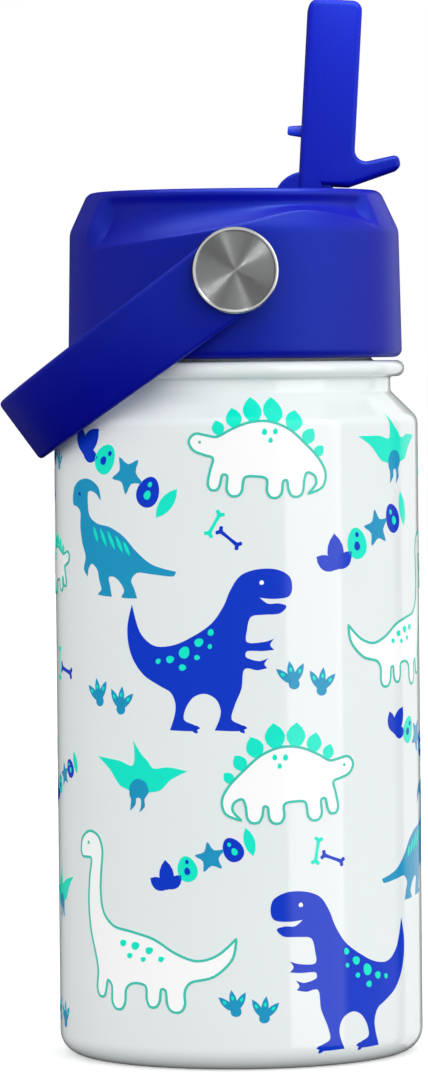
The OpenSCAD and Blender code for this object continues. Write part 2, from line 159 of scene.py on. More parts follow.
white_wall, tree = new_material("lit_white_backdrop")
surface(tree, add_node(tree, "ShaderNodeEmission", {"Color": colour("ffffff"), "Strength": 1.0}))
DOME_R, DOME_H = 5600, 5000
backdrop = new_piece(
    "backdrop",
    [(DOME_R * math.cos(a), DOME_R * math.sin(a), z) for z in (-DOME_H, DOME_H) for a in stage_angles],
    [[i, (i + 1) % STAGE_SIDES, STAGE_SIDES + (i + 1) % STAGE_SIDES, STAGE_SIDES + i]
     for i in range(STAGE_SIDES)]
    + [list(range(STAGE_SIDES, 2 * STAGE_SIDES)), list(range(STAGE_SIDES))], white_wall)
for flag in ("diffuse", "glossy", "transmission", "volume_scatter", "shadow"):
    setattr(backdrop, "visible_" + flag, False)
floor.visible_diffuse = False
floor.visible_glossy = False

BLUE_PARTS = bpy.data.collections.new("lit_blue_parts")
RIVET_PARTS = bpy.data.collections.new("lit_rivet_discs")
RIM_PARTS = bpy.data.collections.new("lit_rivet_rims")
LIGHT_AIM = Vector((0, 0, 0.15))
# name, angles to the right of the camera and above the horizon, distance, width and height in
# metres, radiance, the pieces that it lights (None for all), and whether it shows as a
# reflection, gives diffuse light, or both
SOFTBOXES = (
    ("key", 49, 14, 1.3, 0.95, 1.6, 2.4, None, "reflection"),
    ("right_side", 90, 5, 1.6, 1.6, 2.2, 0.55, None, "reflection"),
    ("right_back", 142, 5, 1.8, 1.0, 2.2, 0.9, None, "reflection"),
    ("left_back", -142, 5, 1.8, 1.0, 2.2, 0.15, None, "reflection"),
    ("overhead", 10, 76, 1.4, 1.8, 1.4, 0.7, None, "reflection"),
    ("plastic_side", 85, 8, 1.5, 1.0, 1.0, 1.5, BLUE_PARTS, "diffuse"),
    ("plastic_top", 34, 57.6, 0.1, 0.05, 0.02, 14.0, BLUE_PARTS, "both"),
    ("plastic_sky", 0, 84, 1.3, 1.8, 1.2, 5.0, BLUE_PARTS, "reflection"),
    ("cap_wedge", 37, 26, 1.2, 0.24, 0.24, 30.0, RIVET_PARTS, "reflection"),
    ("cap_top", 0, 56, 1.2, 0.6, 0.4, 5.5, RIVET_PARTS, "reflection"),
    ("cap_strip", -14, 40, 1.2, 0.08, 0.08, 90.0, RIVET_PARTS, "reflection"),
    ("cap_front", 0, 5, 1.6, 2.4, 2.4, 0.22, RIVET_PARTS, "reflection"),
    ("back_wedge", 217, 26, 1.2, 0.24, 0.24, 30.0, RIVET_PARTS, "reflection"),
    ("back_strip", 166, 40, 1.2, 0.08, 0.08, 90.0, RIVET_PARTS, "reflection"),
    ("cap_back", 180, 5, 1.6, 2.4, 2.4, 0.22, RIVET_PARTS, "reflection"),
    ("rim_front", 0, 5, 1.6, 2.4, 2.4, 0.75, RIM_PARTS, "reflection"),
    ("rim_back", 180, 5, 1.6, 2.4, 2.4, 0.75, RIM_PARTS, "reflection"),
    ("cap_low", 0, -28, 0.26, 0.5, 0.12, 0.3, RIVET_PARTS, "reflection"),
    ("back_low", 180, -28, 0.26, 0.5, 0.12, 0.3, RIVET_PARTS, "reflection"),
)
for name, side, up, away, width, height, radiance, only, how in SOFTBOXES:
    light = bpy.data.lights.new(name, "AREA")
    light.shape = "RECTANGLE"
    light.size, light.size_y = width, height
    light.energy = radiance * math.pi * width * height
    lamp = show(bpy.data.objects.new(name, light))
    a, e = math.radians(side), math.radians(up)
    towards = Vector((math.sin(a) * math.cos(e), -math.cos(a) * math.cos(e), math.sin(e)))
    lamp.location = LIGHT_AIM + away * towards
    lamp.rotation_euler = (-towards).to_track_quat("-Z", "Y").to_euler()
    lamp.visible_diffuse = how != "reflection"
    lamp.visible_glossy = how != "diffuse"
    lamp.visible_camera = False
    if only:
        lamp.light_linking.receiver_collection = only


# ---- Steel body ----
# One drawn stainless shell: base edge, straight wall, shoulder, groove, rolled bead and
# threaded neck. It is powder coated white and baked, which leaves a hard gloss skin.
def arc(x, y, radius, start, end, steps=8):
    """Points on an arc; angles in degrees, anticlockwise from the first axis."""
    return [(x + radius * math.cos(math.radians(start + (end - start) * i / steps)),
             y + radius * math.sin(math.radians(start + (end - start) * i / steps)))
            for i in range(steps + 1)]


def blend_corner(before, corner, after, radius, steps=6):
    """Points that round a corner of an outline, hollow or proud, with that radius."""
    corner = Vector(corner)
    u, v = (Vector(before) - corner).normalized(), (Vector(after) - corner).normalized()
    half = u.angle(v) / 2
    middle = corner + (u + v).normalized() * radius / math.sin(half)
    first = corner + u * radius / math.tan(half) - middle
    last = corner + v * radius / math.tan(half) - middle
    turn = first.angle_signed(last)
    return [tuple(middle + Matrix.Rotation(-turn * i / steps, 2) @ first)
            for i in range(steps + 1)]


def turned(name, outline, material, sides=192, smooth_angle=35):
    """A closed outline of (radius, height) pairs turned round the upright axis."""
    points, faces, count = [], [], len(outline)
    for k in range(sides):
        a = 2 * math.pi * k / sides
        points += [(r * math.cos(a), r * math.sin(a), z) for r, z in outline]
    for k in range(sides):
        here, beyond = k * count, (k + 1) % sides * count
        faces += [[here + i, beyond + i, beyond + (i + 1) % count, here + (i + 1) % count]
                  for i in range(count)]
    return new_piece(name, points, faces, material, smooth_angle)


def swept(rings):
    """Points and faces of a closed solid through equal rings of points."""
    count = len(rings[0])
    points = [p for ring in rings for p in ring]
    faces = [[j * count + i, (j + 1) * count + i, (j + 1) * count + (i + 1) % count,
              j * count + (i + 1) % count] for j in range(len(rings) - 1) for i in range(count)]
    faces += [list(range(count)), list(range(len(points) - 1, len(points) - count - 1, -1))]
    return points, faces


def object_noise(tree, scale, detail):
    """Noise that is fixed to the piece; its scale is in waves per metre."""
    place = add_node(tree, "ShaderNodeTexCoord")
    return add_node(tree, "ShaderNodeTexNoise", {"Vector": place.outputs["Object"],
                                                 "Scale": scale, "Detail": detail})


def mottle(tree, scale, detail, first, second):
    """Two close colours mixed by noise, for a shader's colour."""
    noise = object_noise(tree, scale, detail)
    mixed = add_node(tree, "ShaderNodeMix", {"Factor": noise.outputs["Fac"], "A": first,
                                             "B": second}, data_type="RGBA")
    return mixed.outputs["Result"]


def uneven_skin(tree, scale, detail, strength, depth):
    """The fine unevenness of a surface, for a shader's normal."""
    noise = object_noise(tree, scale, detail)
    bump = add_node(tree, "ShaderNodeBump", {"Height": noise.outputs["Fac"], "Strength": strength,
                                             "Distance": depth})
    return bump.outputs["Normal"]


shell_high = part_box("outer_shell")[1]
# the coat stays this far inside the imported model's radius, to leave room for the printed inks
INK_ROOM = 0.12
SHELL_R = shell_high.x / MM
BODY_R = SHELL_R - INK_ROOM
STEEL_T, BASE_ROUND, FOOT_W = 0.6, 4.5, 2.5
WALL_H, CORNER_R = 125.4, 3
NECK_TOP = shell_high.z / MM
LINER_RECESS, BEAD_GAP = 1, 0.6
NECK_R, LID_R, LID_FOOT = 27.2, 33.4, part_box("lid_liner")[0].z / MM - LINER_RECESS
GROOVE_R, BEAD_R, BEAD_ROUND = 31.0, 33.8, 1.6
BEAD_Z = LID_FOOT - BEAD_GAP - BEAD_ROUND
GROOVE_Z = 132.14
# the inner face of the 45-degree shoulder lies this much lower than the outer one
INNER_DROP = 0.25

shoulder = (BODY_R, GROOVE_Z - (BODY_R - GROOVE_R))
outline = [(BODY_R - BASE_ROUND - FOOT_W, 0)]
outline += arc(BODY_R - BASE_ROUND, BASE_ROUND, BASE_ROUND, -90, 0, 10)
outline += [(BODY_R, BASE_ROUND + (WALL_H - BASE_ROUND) * i / 12) for i in range(1, 12)]
outline += blend_corner((BODY_R, WALL_H), shoulder, (GROOVE_R, GROOVE_Z), CORNER_R, 12)
outline += blend_corner(shoulder, (GROOVE_R, GROOVE_Z), (GROOVE_R, BEAD_Z), 1.0)
outline += blend_corner((GROOVE_R, GROOVE_Z), (GROOVE_R, BEAD_Z - BEAD_ROUND),
                        (BEAD_R, BEAD_Z - BEAD_ROUND), 0.5)
outline += arc(BEAD_R - BEAD_ROUND, BEAD_Z, BEAD_ROUND, -90, 90, 14)
outline += blend_corner((BEAD_R, BEAD_Z + BEAD_ROUND), (NECK_R, BEAD_Z + BEAD_ROUND),
                        (NECK_R, NECK_TOP), 0.8)
outline += [(NECK_R, NECK_TOP), (NECK_R - STEEL_T, NECK_TOP)]
# the inner face of the same sheet, down to the foot
outline += [(NECK_R - STEEL_T, BEAD_Z + BEAD_ROUND - STEEL_T)]
outline += arc(BEAD_R - BEAD_ROUND, BEAD_Z, BEAD_ROUND - STEEL_T, 90, -90, 8)
outline += [(GROOVE_R - STEEL_T, BEAD_Z - BEAD_ROUND + STEEL_T), (GROOVE_R - STEEL_T, GROOVE_Z)]
outline += blend_corner((GROOVE_R - STEEL_T, GROOVE_Z - INNER_DROP),
                        (BODY_R - STEEL_T, shoulder[1] - INNER_DROP),
                        (BODY_R - STEEL_T, BASE_ROUND), CORNER_R - STEEL_T)
outline += arc(BODY_R - BASE_ROUND, BASE_ROUND, BASE_ROUND - STEEL_T, 0, -90, 6)
outline += [(BODY_R - BASE_ROUND - FOOT_W, STEEL_T)]

# Polyester powder on steel: flat white with the faint waviness of orange peel, 1 to 2 mm across.
powder, tree = new_material("gloss_powder_coat_white")
surface(tree, add_node(tree, "ShaderNodeBsdfPrincipled", {
    "Base Color": mottle(tree, 60.0, 2.0, colour("e7edee"), colour("eaf0f0")), "Roughness": 0.09,
    "IOR": 1.5, "Normal": uneven_skin(tree, 650.0, 1.0, 0.04, 0.0002)}))

body = turned("powder_coated_body", outline, powder, 256)
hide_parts("outer_shell")
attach(body, "bottle")

# The rolled thread on the neck: one flight of a little over one turn that fades in and out.
LEAD, FLIGHT_R, FLIGHT_TURN, FLIGHT_W = 4, 28.6, 396, 2
FLIGHT_LIFT, FLIGHT_ROOT_R = 2.9, NECK_R - 0.2
FLIGHT_STEPS, FADE_STEPS = 88, 8
rings = []
for i in range(FLIGHT_STEPS + 1):
    a = math.radians(FLIGHT_TURN * i / FLIGHT_STEPS)
    z = BEAD_Z + BEAD_ROUND + FLIGHT_LIFT + LEAD * a / (2 * math.pi)
    full = min(1, i / FADE_STEPS, (FLIGHT_STEPS - i) / FADE_STEPS)
    section = [(FLIGHT_ROOT_R, -FLIGHT_W / 2)]
    section += [(NECK_R + (FLIGHT_R - NECK_R) * full * math.cos(math.radians(b)) ** 0.6,
                 FLIGHT_W / 2 * math.sin(math.radians(b))) for b in (-75, -50, -25, 0, 25, 50, 75)]
    section += [(FLIGHT_ROOT_R, FLIGHT_W / 2)]
    rings.append([(r * math.cos(a), r * math.sin(a), z + h) for r, h in section])
flight = new_piece("neck_thread_flight", *swept(rings), powder)
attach(flight, "bottle")


# ---- Print ----
# Two-part epoxy inks screen printed on the powder coat and cured: a free scatter of plain
# dinosaurs, bones, footprints and rows of leaves, eggs and stars, each layer a thin skin.
INK_T, INK_SINK, LINE_W = 0.04, 0.02, 0.5
# a filled shape is cut into upright strips, and into bands where the base and shoulder curve in
STRIP, BAND, BANDS = 2.5, 0.5, 8
SHOULDER_START = shoulder[1] - CORNER_R * math.tan(math.radians(22.5))


def ink(name, code):
    """A cured ink: nearly flat colour with slightly uneven cover, gloss under the same light."""
    material, tree = new_material(name)
    full = colour(code)
    thin = [c * 0.96 for c in full[:3]] + [1]
    surface(tree, add_node(tree, "ShaderNodeBsdfPrincipled", {
        "Base Color": mottle(tree, 1200.0, 3.0, full, thin), "Roughness": 0.16, "IOR": 1.5,
        "Specular IOR Level": 0.3}))
    return material


INKS = {"navy": ink("epoxy_ink_deep_blue", "0337ca"), "teal": ink("epoxy_ink_teal", "1a98c6"),
        "mint": ink("epoxy_ink_turquoise", "0aeccd"), "pale": ink("epoxy_ink_white", "ffffff"),
        "line": ink("epoxy_ink_green_line", "3fc8b4")}


def curve(points, steps=5):
    """A smooth closed line through points; a point given as (x, y, 0) stays a sharp corner."""
    made, count = [], len(points)
    for i in range(count):
        a, b, c, d = (Vector(points[(i + k) % count][:2]) for k in (-1, 0, 1, 2))
        leave = Vector((0, 0)) if len(points[i]) == 3 else (c - a) / 2
        arrive = Vector((0, 0)) if len(points[(i + 1) % count]) == 3 else (d - b) / 2
        limit = (c - b).length
        leave *= min(1, limit / max(leave.length, 1e-6))
        arrive *= min(1, limit / max(arrive.length, 1e-6))
        for k in range(steps):
            t = k / steps
            made.append(tuple((2 * t ** 3 - 3 * t ** 2 + 1) * b + (t ** 3 - 2 * t ** 2 + t) * leave
                              + (3 * t ** 2 - 2 * t ** 3) * c + (t ** 3 - t ** 2) * arrive))
    return made


def swung(outline, x, y, tilt):
    """An outline turned by tilt degrees round its origin, which then moves to (x, y)."""
    a = math.radians(tilt)
    return [(x + u * math.cos(a) - v * math.sin(a), y + u * math.sin(a) + v * math.cos(a))
            for u, v in outline]


def leaf(x, y, length, width, tilt, steps=6):
    """A pointed oval from (x, y) outwards; tilt in degrees."""
    side = [(length * i / steps, width / 2 * math.sin(math.pi * i / steps) ** 0.8)
            for i in range(steps + 1)]
    return swung(side + [(u, -v) for u, v in reversed(side[1:-1])], x, y, tilt)


def egg(x, y, length, width, tilt=90, steps=24):
    """An egg with its blunt end down before it is tilted."""
    turns = [2 * math.pi * i / steps for i in range(steps)]
    return swung([(length / 2 * math.cos(b), width / 2 * math.sin(b) * (1 - 0.16 * math.cos(b)))
                  for b in turns], x, y, tilt)


def star(x, y, radius, tilt=90):
    """A plump five-pointed star."""
    return curve([(x + r * math.cos(math.radians(tilt + 36 * i)),
                   y + r * math.sin(math.radians(tilt + 36 * i)))
                  for i, r in enumerate([radius, radius * 0.52] * 5)], steps=3)


def ribbon(line, width):
    """The two edges of a closed drawn line."""
    left, right = [], []
    for i, here in enumerate(line):
        along = (Vector(line[(i + 1) % len(line)]) - Vector(line[i - 1])).normalized()
        side = Vector((-along.y, along.x)) * width / 2
        left.append(tuple(Vector(here) + side))
        right.append(tuple(Vector(here) - side))
    return left, right


def wall_r(z):
    """Radius of the body under the print at height z, with the base and shoulder rounds."""
    if z < BASE_ROUND:
        return BODY_R - BASE_ROUND + math.sqrt(BASE_ROUND ** 2 - (BASE_ROUND - z) ** 2)
    past = z - SHOULDER_START
    if past < 0:
        return BODY_R
    if past < CORNER_R * math.sin(math.radians(45)):
        return BODY_R - CORNER_R + math.sqrt(CORNER_R ** 2 - past ** 2)
    return shoulder[0] - (z - shoulder[1])


def lay_line(flat, outline):
    """Draws a closed line in a flat mesh, as a strip of four-sided faces."""
    left, right = ([flat.verts.new((*p, 0)) for p in edge] for edge in ribbon(outline, LINE_W))
    for i in range(len(left)):
        j = (i + 1) % len(left)
        flat.faces.new((left[i], left[j], right[j], right[i]))


def lay_fill(flat, outline):
    """Fills an outline in a flat mesh, with cuts where it has to bend round the body."""
    flat.faces.new([flat.verts.new((*p, 0)) for p in outline])
    across = [v.co.x for v in flat.verts]
    cuts = [((k * STRIP, 0, 0), (1, 0, 0))
            for k in range(math.ceil(min(across) / STRIP), math.ceil(max(across) / STRIP))]
    heights = [v.co.y for v in flat.verts]
    cuts += [((0, z, 0), (0, 1, 0)) for k in range(BANDS)
             for z in (BASE_ROUND - k * BAND, SHOULDER_START + k * BAND)
             if min(heights) < z < max(heights)]
    for place, normal in cuts:
        bmesh.ops.bisect_plane(flat, geom=flat.verts[:] + flat.edges[:] + flat.faces[:],
                               plane_co=place, plane_no=normal)


def wrap(flat, bm, top, slot):
    """Wraps a flat mesh round the body as a closed skin, from just under the coat up to top."""
    bmesh.ops.triangulate(flat, faces=flat.faces[:])
    flat.verts.index_update()
    upper, lower = {}, {}
    for v in flat.verts:
        turn, under = v.co.x / BODY_R, wall_r(v.co.y)
        for store, r in ((upper, under + top), (lower, under - INK_SINK)):
            store[v.index] = bm.verts.new((r * math.sin(turn) * MM, -r * math.cos(turn) * MM,
                                           v.co.y * MM))
    made = []
    for f in flat.faces:
        made.append(bm.faces.new([upper[v.index] for v in f.verts]))
        made.append(bm.faces.new([lower[v.index] for v in reversed(f.verts)]))
    for p, q in (e.verts for e in flat.edges if len(e.link_faces) == 1):
        made.append(bm.faces.new((upper[p.index], upper[q.index], lower[q.index], lower[p.index])))
    for f in made:
        f.material_index = slot


def print_motif(name, shapes, at, size=1.0, tilt=0, flip=False):
    """Prints filled outlines and drawn lines as one piece with one slot for each ink.

    shapes holds (kind, ink, layer, outline); at is the arc along the wall from the front
    and the height, in millimetres."""
    bm = bmesh.new()
    used = []
    mirror = -1 if flip else 1
    for kind, ink_name, layer, outline in shapes:
        if ink_name not in used:
            used.append(ink_name)
        outline = swung([(u * size * mirror, v * size) for u, v in outline], *at, tilt)
        flat = bmesh.new()
        if kind == "line":
            lay_line(flat, outline)
        else:
            lay_fill(flat, outline)
        wrap(flat, bm, INK_T * layer, used.index(ink_name))
        flat.free()
    bmesh.ops.recalc_face_normals(bm, faces=bm.faces)
    mesh = bpy.data.meshes.new(name)
    bm.to_mesh(mesh)
    bm.free()
    mesh.shade_smooth()
    mesh.set_sharp_from_angle(angle=math.radians(30))
    piece = show(bpy.data.objects.new(name, mesh))
    for ink_name in used:
        mesh.materials.append(INKS[ink_name])
    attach(piece, "bottle")
    return piece


def hunter():
    """A plain two-legged dinosaur that looks to the right."""
    skin = curve([(17.2, 12.2), (16.6, 14.6), (13.8, 16.0), (10.0, 16.0), (6.8, 14.8), (4.8, 12.0),
                  (3.4, 8.8), (1.0, 5.4), (-2.8, 2.8), (-7.0, 1.0), (-11.2, 0.9), (-14.4, 3.6),
                  (-16.2, 9.0, 0), (-17.4, 4.2), (-16.6, -0.8), (-13.8, -4.8), (-9.8, -7.2),
                  (-7.6, -8.4), (-6.6, -10.6), (-6.8, -13.0), (-7.8, -15.9, 0), (-2.6, -16.0),
                  (-2.6, -14.9), (-4.8, -13.8), (-4.4, -11.4), (-2.8, -9.3), (-0.6, -8.6), (1.6, -9.6),
                  (2.6, -11.6), (2.4, -13.6), (1.4, -15.9, 0), (6.8, -16.0), (6.8, -14.9), (4.8, -13.7),
                  (5.4, -11.0), (6.8, -7.6), (7.4, -3.8), (10.0, -4.0), (12.0, -3.6, 0), (11.4, -2.8),
                  (12.2, -1.6, 0), (10.4, -2.2), (7.8, -1.4), (8.0, -0.2), (11.2, -0.2),
                  (13.4, 0.0, 0), (12.6, 1.0), (13.4, 2.2, 0), (11.4, 1.6), (8.0, 1.6), (8.0, 4.0),
                  (8.8, 6.6), (11.4, 7.0), (14.6, 7.2), (16.0, 8.6), (14.4, 9.2), (12.2, 9.2),
                  (10.6, 10.4, 0), (13.4, 10.1), (16.4, 10.5)])
    toes = [("fill", "navy", 1, leaf(x, -15.2, 1.9, 0.9, t)) for x in (-3.4, 6.0) for t in (-42, -8)]
    spots = [("fill", "mint", 2, egg(x, y, d, d * 0.85, t)) for x, y, d, t in
             ((-7.6, -1.8, 1.7, 20), (-4.6, -0.4, 2.5, 60), (-1.6, 1.6, 1.9, 30), (-5.0, -3.4, 1.5, 0),
              (-2.0, -1.4, 1.2, 0), (-10.2, -2.2, 1.2, 40), (0.8, 3.6, 1.4, 70), (0.6, 0.8, 1.0, 70))]
    return [("fill", "navy", 1, skin), *toes, *spots, ("fill", "pale", 2, egg(11.0, 13.4, 0.9, 0.9))]


def plated():
    """A plain four-legged dinosaur with back plates that looks to the left."""
    skin = curve([(-14.8, 1.6), (-13.6, 3.1), (-11.4, 2.9), (-9.2, 2.7), (-6.6, 4.2), (-3.0, 5.8),
                  (1.0, 6.2), (5.2, 4.8), (8.8, 2.0), (11.8, -0.8), (13.4, -3.6), (12.8, -6.4),
                  (9.8, -7.8, 0), (11.4, -5.8), (11.0, -4.2), (9.4, -3.6), (8.8, -5.0), (8.6, -7.4),
                  (7.8, -8.4), (6.4, -8.4), (5.6, -7.2), (5.2, -5.4), (4.4, -5.6), (4.2, -7.8),
                  (3.4, -8.8), (2.0, -8.8), (1.2, -7.6), (1.0, -5.2), (-1.4, -4.8), (-3.4, -5.2),
                  (-3.8, -7.8), (-4.6, -8.8), (-6.0, -8.8), (-6.8, -7.6), (-6.8, -5.0), (-7.8, -4.8),
                  (-8.2, -6.8), (-8.8, -7.8), (-10.0, -7.8), (-10.6, -6.6), (-10.2, -3.8),
                  (-9.8, -1.6), (-11.6, -1.0), (-13.8, -0.2)])
    plates = [("fill", "mint", 1, leaf(x, y - 0.6, tall, tall * 0.74, tilt)) for x, y, tall, tilt in
              ((-8.4, 3.4, 3.4, 112), (-5.4, 4.9, 4.4, 106), (-1.9, 6.1, 5.4, 97), (1.9, 6.1, 5.6, 86),
               (5.5, 4.7, 4.8, 72), (8.4, 2.5, 3.8, 60), (10.8, 0.2, 2.9, 50))]
    return [*plates, ("fill", "pale", 2, skin), ("line", "line", 3, skin),
            *[("fill", "mint", 3, egg(x, 3.2 + y, d, d * 0.8)) for x, y, d in
              ((0.2, 0.9, 1.3), (2.4, 1.1, 1.2), (1.5, -0.7, 1.1))],
            ("fill", "line", 3, egg(-12.6, 1.5, 0.6, 0.6))]


def glider():
    """A plain flying reptile with both wings out."""
    wings = curve([(10.6, 3.0, 0), (6.6, 3.6), (3.4, 3.2), (2.0, 4.6), (0.6, 5.8), (-1.4, 8.4, 0),
                   (-1.0, 5.4), (-1.6, 3.4), (-4.8, 4.2), (-10.8, 4.6, 0), (-7.4, 2.4), (-4.6, -0.6),
                   (-2.4, -1.4), (-0.2, -2.6), (2.6, -1.6), (5.0, -1.0), (7.2, 1.2)])
    body = curve([(1.6, 0.4), (-0.4, 0.9), (-1.9, -0.4), (-2.0, -2.4), (-1.6, -3.2), (-1.8, -5.4, 0),
                  (-0.6, -4.2), (-0.4, -2.9), (0.6, -2.9), (0.8, -4.2), (0.4, -5.6, 0), (1.6, -4.4),
                  (1.5, -3.0), (2.4, -1.4)])
    return [("fill", "mint", 1, wings), ("fill", "teal", 2, body)]


def crested():
    """A plain duck-billed dinosaur with a swept-back crest that looks to the left."""
    skin = curve([(-15.0, 8.4), (-14.2, 10.8), (-11.6, 12.4), (-8.2, 12.6), (-5.2, 11.0), (-4.4, 8.2, 0),
                  (-6.2, 9.8), (-8.6, 10.0), (-8.8, 7.4), (-8.0, 4.8), (-5.4, 3.4), (-1.4, 2.8),
                  (2.4, 1.0), (5.8, -2.0), (9.8, -4.6), (15.2, -5.8, 0), (14.6, -6.8), (10.0, -6.6),
                  (6.2, -6.4), (4.6, -8.0), (5.4, -9.8), (6.2, -11.8, 0), (2.2, -11.8), (2.8, -10.4),
                  (1.8, -8.8), (0.0, -7.6), (-1.6, -7.8), (-1.2, -9.6), (-0.6, -11.8, 0), (-4.8, -11.6),
                  (-3.8, -10.4), (-4.6, -8.4), (-5.2, -6.4), (-7.0, -5.2), (-8.2, -6.2),
                  (-8.6, -8.0, 0), (-10.0, -6.4), (-9.4, -3.8), (-10.8, -0.8), (-11.6, 2.6),
                  (-11.6, 5.4), (-13.0, 6.6), (-14.6, 6.9)])
    stripes = [("fill", "mint", 2, leaf(x, y, long, 0.9, tilt)) for x, y, long, tilt in
               ((-6.6, 2.8, 3.6, -66), (-4.4, 2.5, 4.4, -62), (-2.2, 2.1, 4.6, -60),
                (0.2, 1.2, 4.2, -60), (2.4, 0.0, 3.4, -60))]
    return [("fill", "teal", 1, skin), *stripes, ("fill", "navy", 2, egg(-12.0, 9.4, 0.8, 0.8))]


def long_neck():
    """A plain long-necked dinosaur that looks to the left."""
    skin = curve([(-17.6, 13.4), (-17.0, 15.8), (-14.4, 17.3), (-11.6, 16.4), (-10.4, 13.6), (-10.8, 9.6),
                  (-11.0, 5.4), (-10.2, 1.6), (-7.4, -1.0), (-2.8, -1.9), (2.4, -3.2), (7.0, -5.8),
                  (11.4, -7.2), (15.6, -6.0), (19.2, -2.8, 0), (18.4, -6.8), (14.8, -10.2), (10.2, -11.4),
                  (8.9, -13.2), (8.9, -15.8), (8.0, -17.2), (6.2, -17.2), (5.2, -15.8), (4.9, -13.2),
                  (3.9, -13.0), (3.6, -15.2), (2.8, -16.4), (1.4, -16.4), (0.7, -15.0), (0.4, -12.4),
                  (-2.4, -12.0), (-4.2, -13.2), (-4.5, -15.8), (-5.4, -17.2), (-7.0, -17.2),
                  (-7.9, -15.8), (-8.0, -12.8), (-9.1, -11.8), (-9.6, -13.6), (-10.2, -15.0),
                  (-11.6, -15.0), (-12.3, -13.4), (-12.0, -10.0), (-12.8, -6.6), (-14.2, -2.4),
                  (-14.9, 2.6), (-14.6, 7.8), (-13.9, 11.8), (-15.6, 12.1), (-17.0, 12.2)])
    spots = [("fill", "mint", 3, egg(x, y, d, d * 0.8, 20)) for x, y, d in
             ((-4.8, -4.2, 1.6), (-1.8, -4.6, 1.9), (1.4, -5.4, 1.7), (4.0, -7.0, 1.3),
              (0.0, -7.2, 1.2), (-3.2, -6.6, 1.3))]
    return [("fill", "pale", 1, skin), ("line", "line", 2, skin), *spots,
            ("fill", "line", 2, egg(-14.8, 15.0, 0.7, 0.7))]


def bone(x, y, length, tilt, ink_name):
    """A plain bone with a pair of knobs at each end."""
    h, w = length / 2, length * 0.09
    knob = [(h - w, w), (h + 0.4 * w, 2.6 * w), (h + 1.8 * w, 1.6 * w), (h + 1.0 * w, 0),
            (h + 1.8 * w, -1.6 * w), (h + 0.4 * w, -2.6 * w), (h - w, -w)]
    whole = knob + [(-u, -v) for u, v in knob]
    return ("fill", ink_name, 1, swung(curve(list(reversed(whole)), steps=3), x, y, tilt))


def bones():
    """Two bones that lie different ways, one in each colour."""
    return [bone(-1.6, 1.6, 5.2, 60, "mint"), bone(1.8, -1.8, 5.2, -40, "navy")]


def footprints():
    """Two three-toed prints side by side."""
    made = []
    for x, y, lean in ((-2.9, 0.8, 10), (2.9, -0.6, -8)):
        heel_y = y - 2.6
        toes = [90 + lean + spread for spread in (-38, 0, 38)]
        made += [("fill", "teal", 1, leaf(x, heel_y, 4.6, 1.5, t)) for t in toes]
        made += [("fill", "teal", 1, egg(x + 0.2, y - 2.4, 2.4, 2.2))]
        made += [("fill", "mint", 2, egg(x + 2.9 * math.cos(math.radians(t)),
                                         heel_y + 2.9 * math.sin(math.radians(t)), 0.9, 0.6, t))
                 for t in toes]
    return made


def nest_row():
    """Three leaves from one stalk, an egg, a star, an egg and a single leaf in a row."""
    return [("fill", "navy", 1, leaf(-11.6, -3.6, 7.6, 4.0, 74)),
            ("fill", "navy", 1, leaf(-11.8, -3.4, 5.4, 3.2, 128)),
            ("fill", "navy", 1, leaf(-11.4, -3.4, 5.0, 3.0, 24)),
            ("fill", "mint", 1, egg(-4.8, -0.4, 6.6, 5.2, 82)),
            ("fill", "navy", 2, egg(-5.0, -0.9, 1.9, 1.5, 82)),
            ("fill", "navy", 2, egg(-4.2, 1.3, 1.1, 0.9, 82)),
            ("fill", "teal", 1, star(1.8, 0.2, 4.0, 80)),
            ("fill", "navy", 1, egg(7.8, 0.0, 6.4, 5.0, 98)),
            ("fill", "mint", 2, egg(8.0, -0.6, 1.9, 1.5, 96)),
            ("fill", "mint", 2, egg(7.4, 1.5, 1.1, 0.9, 96)),
            ("fill", "mint", 1, leaf(12.0, -3.4, 7.4, 2.8, 84))]


MOTIFS = {"hunter": hunter(), "plated": plated(), "glider": glider(), "crested": crested(),
          "long_neck": long_neck(), "bones": bones(), "footprints": footprints(), "nest_row": nest_row()}
# motif, arc along the wall from the front, height, size, tilt, faces the other way
LAYOUT = (
    ("nest_row", -24.5, 117.2, 0.98, -33, False), ("plated", 5.0, 120.6, 0.98, -3, False),
    ("glider", 37.0, 119.6, 1.0, 4, False), ("crested", -26.2, 103.4, 0.93, -2, False),
    ("bones", -3.2, 105.5, 0.82, 0, False), ("nest_row", 29.5, 104.5, 0.95, 21, False),
    ("plated", -50.5, 98.0, 0.6, 8, True), ("hunter", -6.2, 82.2, 0.98, 0, False),
    ("long_neck", 39.5, 89.0, 0.86, 0, True), ("footprints", -28.2, 73.6, 1.0, 0, False),
    ("footprints", 13.6, 77.2, 1.0, 0, False), ("nest_row", 46.5, 64.0, 0.85, -20, False),
    ("glider", -21.0, 56.0, 1.0, -2, False), ("plated", 9.4, 57.2, 0.98, 3, True),
    ("nest_row", -47.0, 56.0, 0.62, 24, False), ("long_neck", -20.2, 28.8, 1.0, 0, False),
    ("nest_row", -7.2, 41.2, 0.78, 21, False), ("bones", 17.0, 42.0, 0.8, 20, False),
    ("crested", 45.0, 42.4, 0.9, 4, True), ("hunter", 22.6, 19.2, 0.98, 0, True),
    ("footprints", 1.4, 13.4, 0.95, 0, False), ("footprints", -50.5, 9.6, 0.95, 6, False),
    ("bones", -47.0, 78.0, 1.0, 30, False), ("bones", 57.0, 116.0, 1.0, -10, False),
    ("footprints", -50.0, 120.0, 0.7, 0, False), ("glider", -49.0, 32.0, 0.75, 8, True))
HALF_ROUND = math.pi * BODY_R
for half, name in ((0, "front"), (1, "back")):
    for i, (motif, along, up, size, tilt, flip) in enumerate(LAYOUT):
        print_motif(f"print_{name}_{i + 1:02d}_{motif}", MOTIFS[motif], (along + half * HALF_ROUND, up),
                    size, tilt, flip)


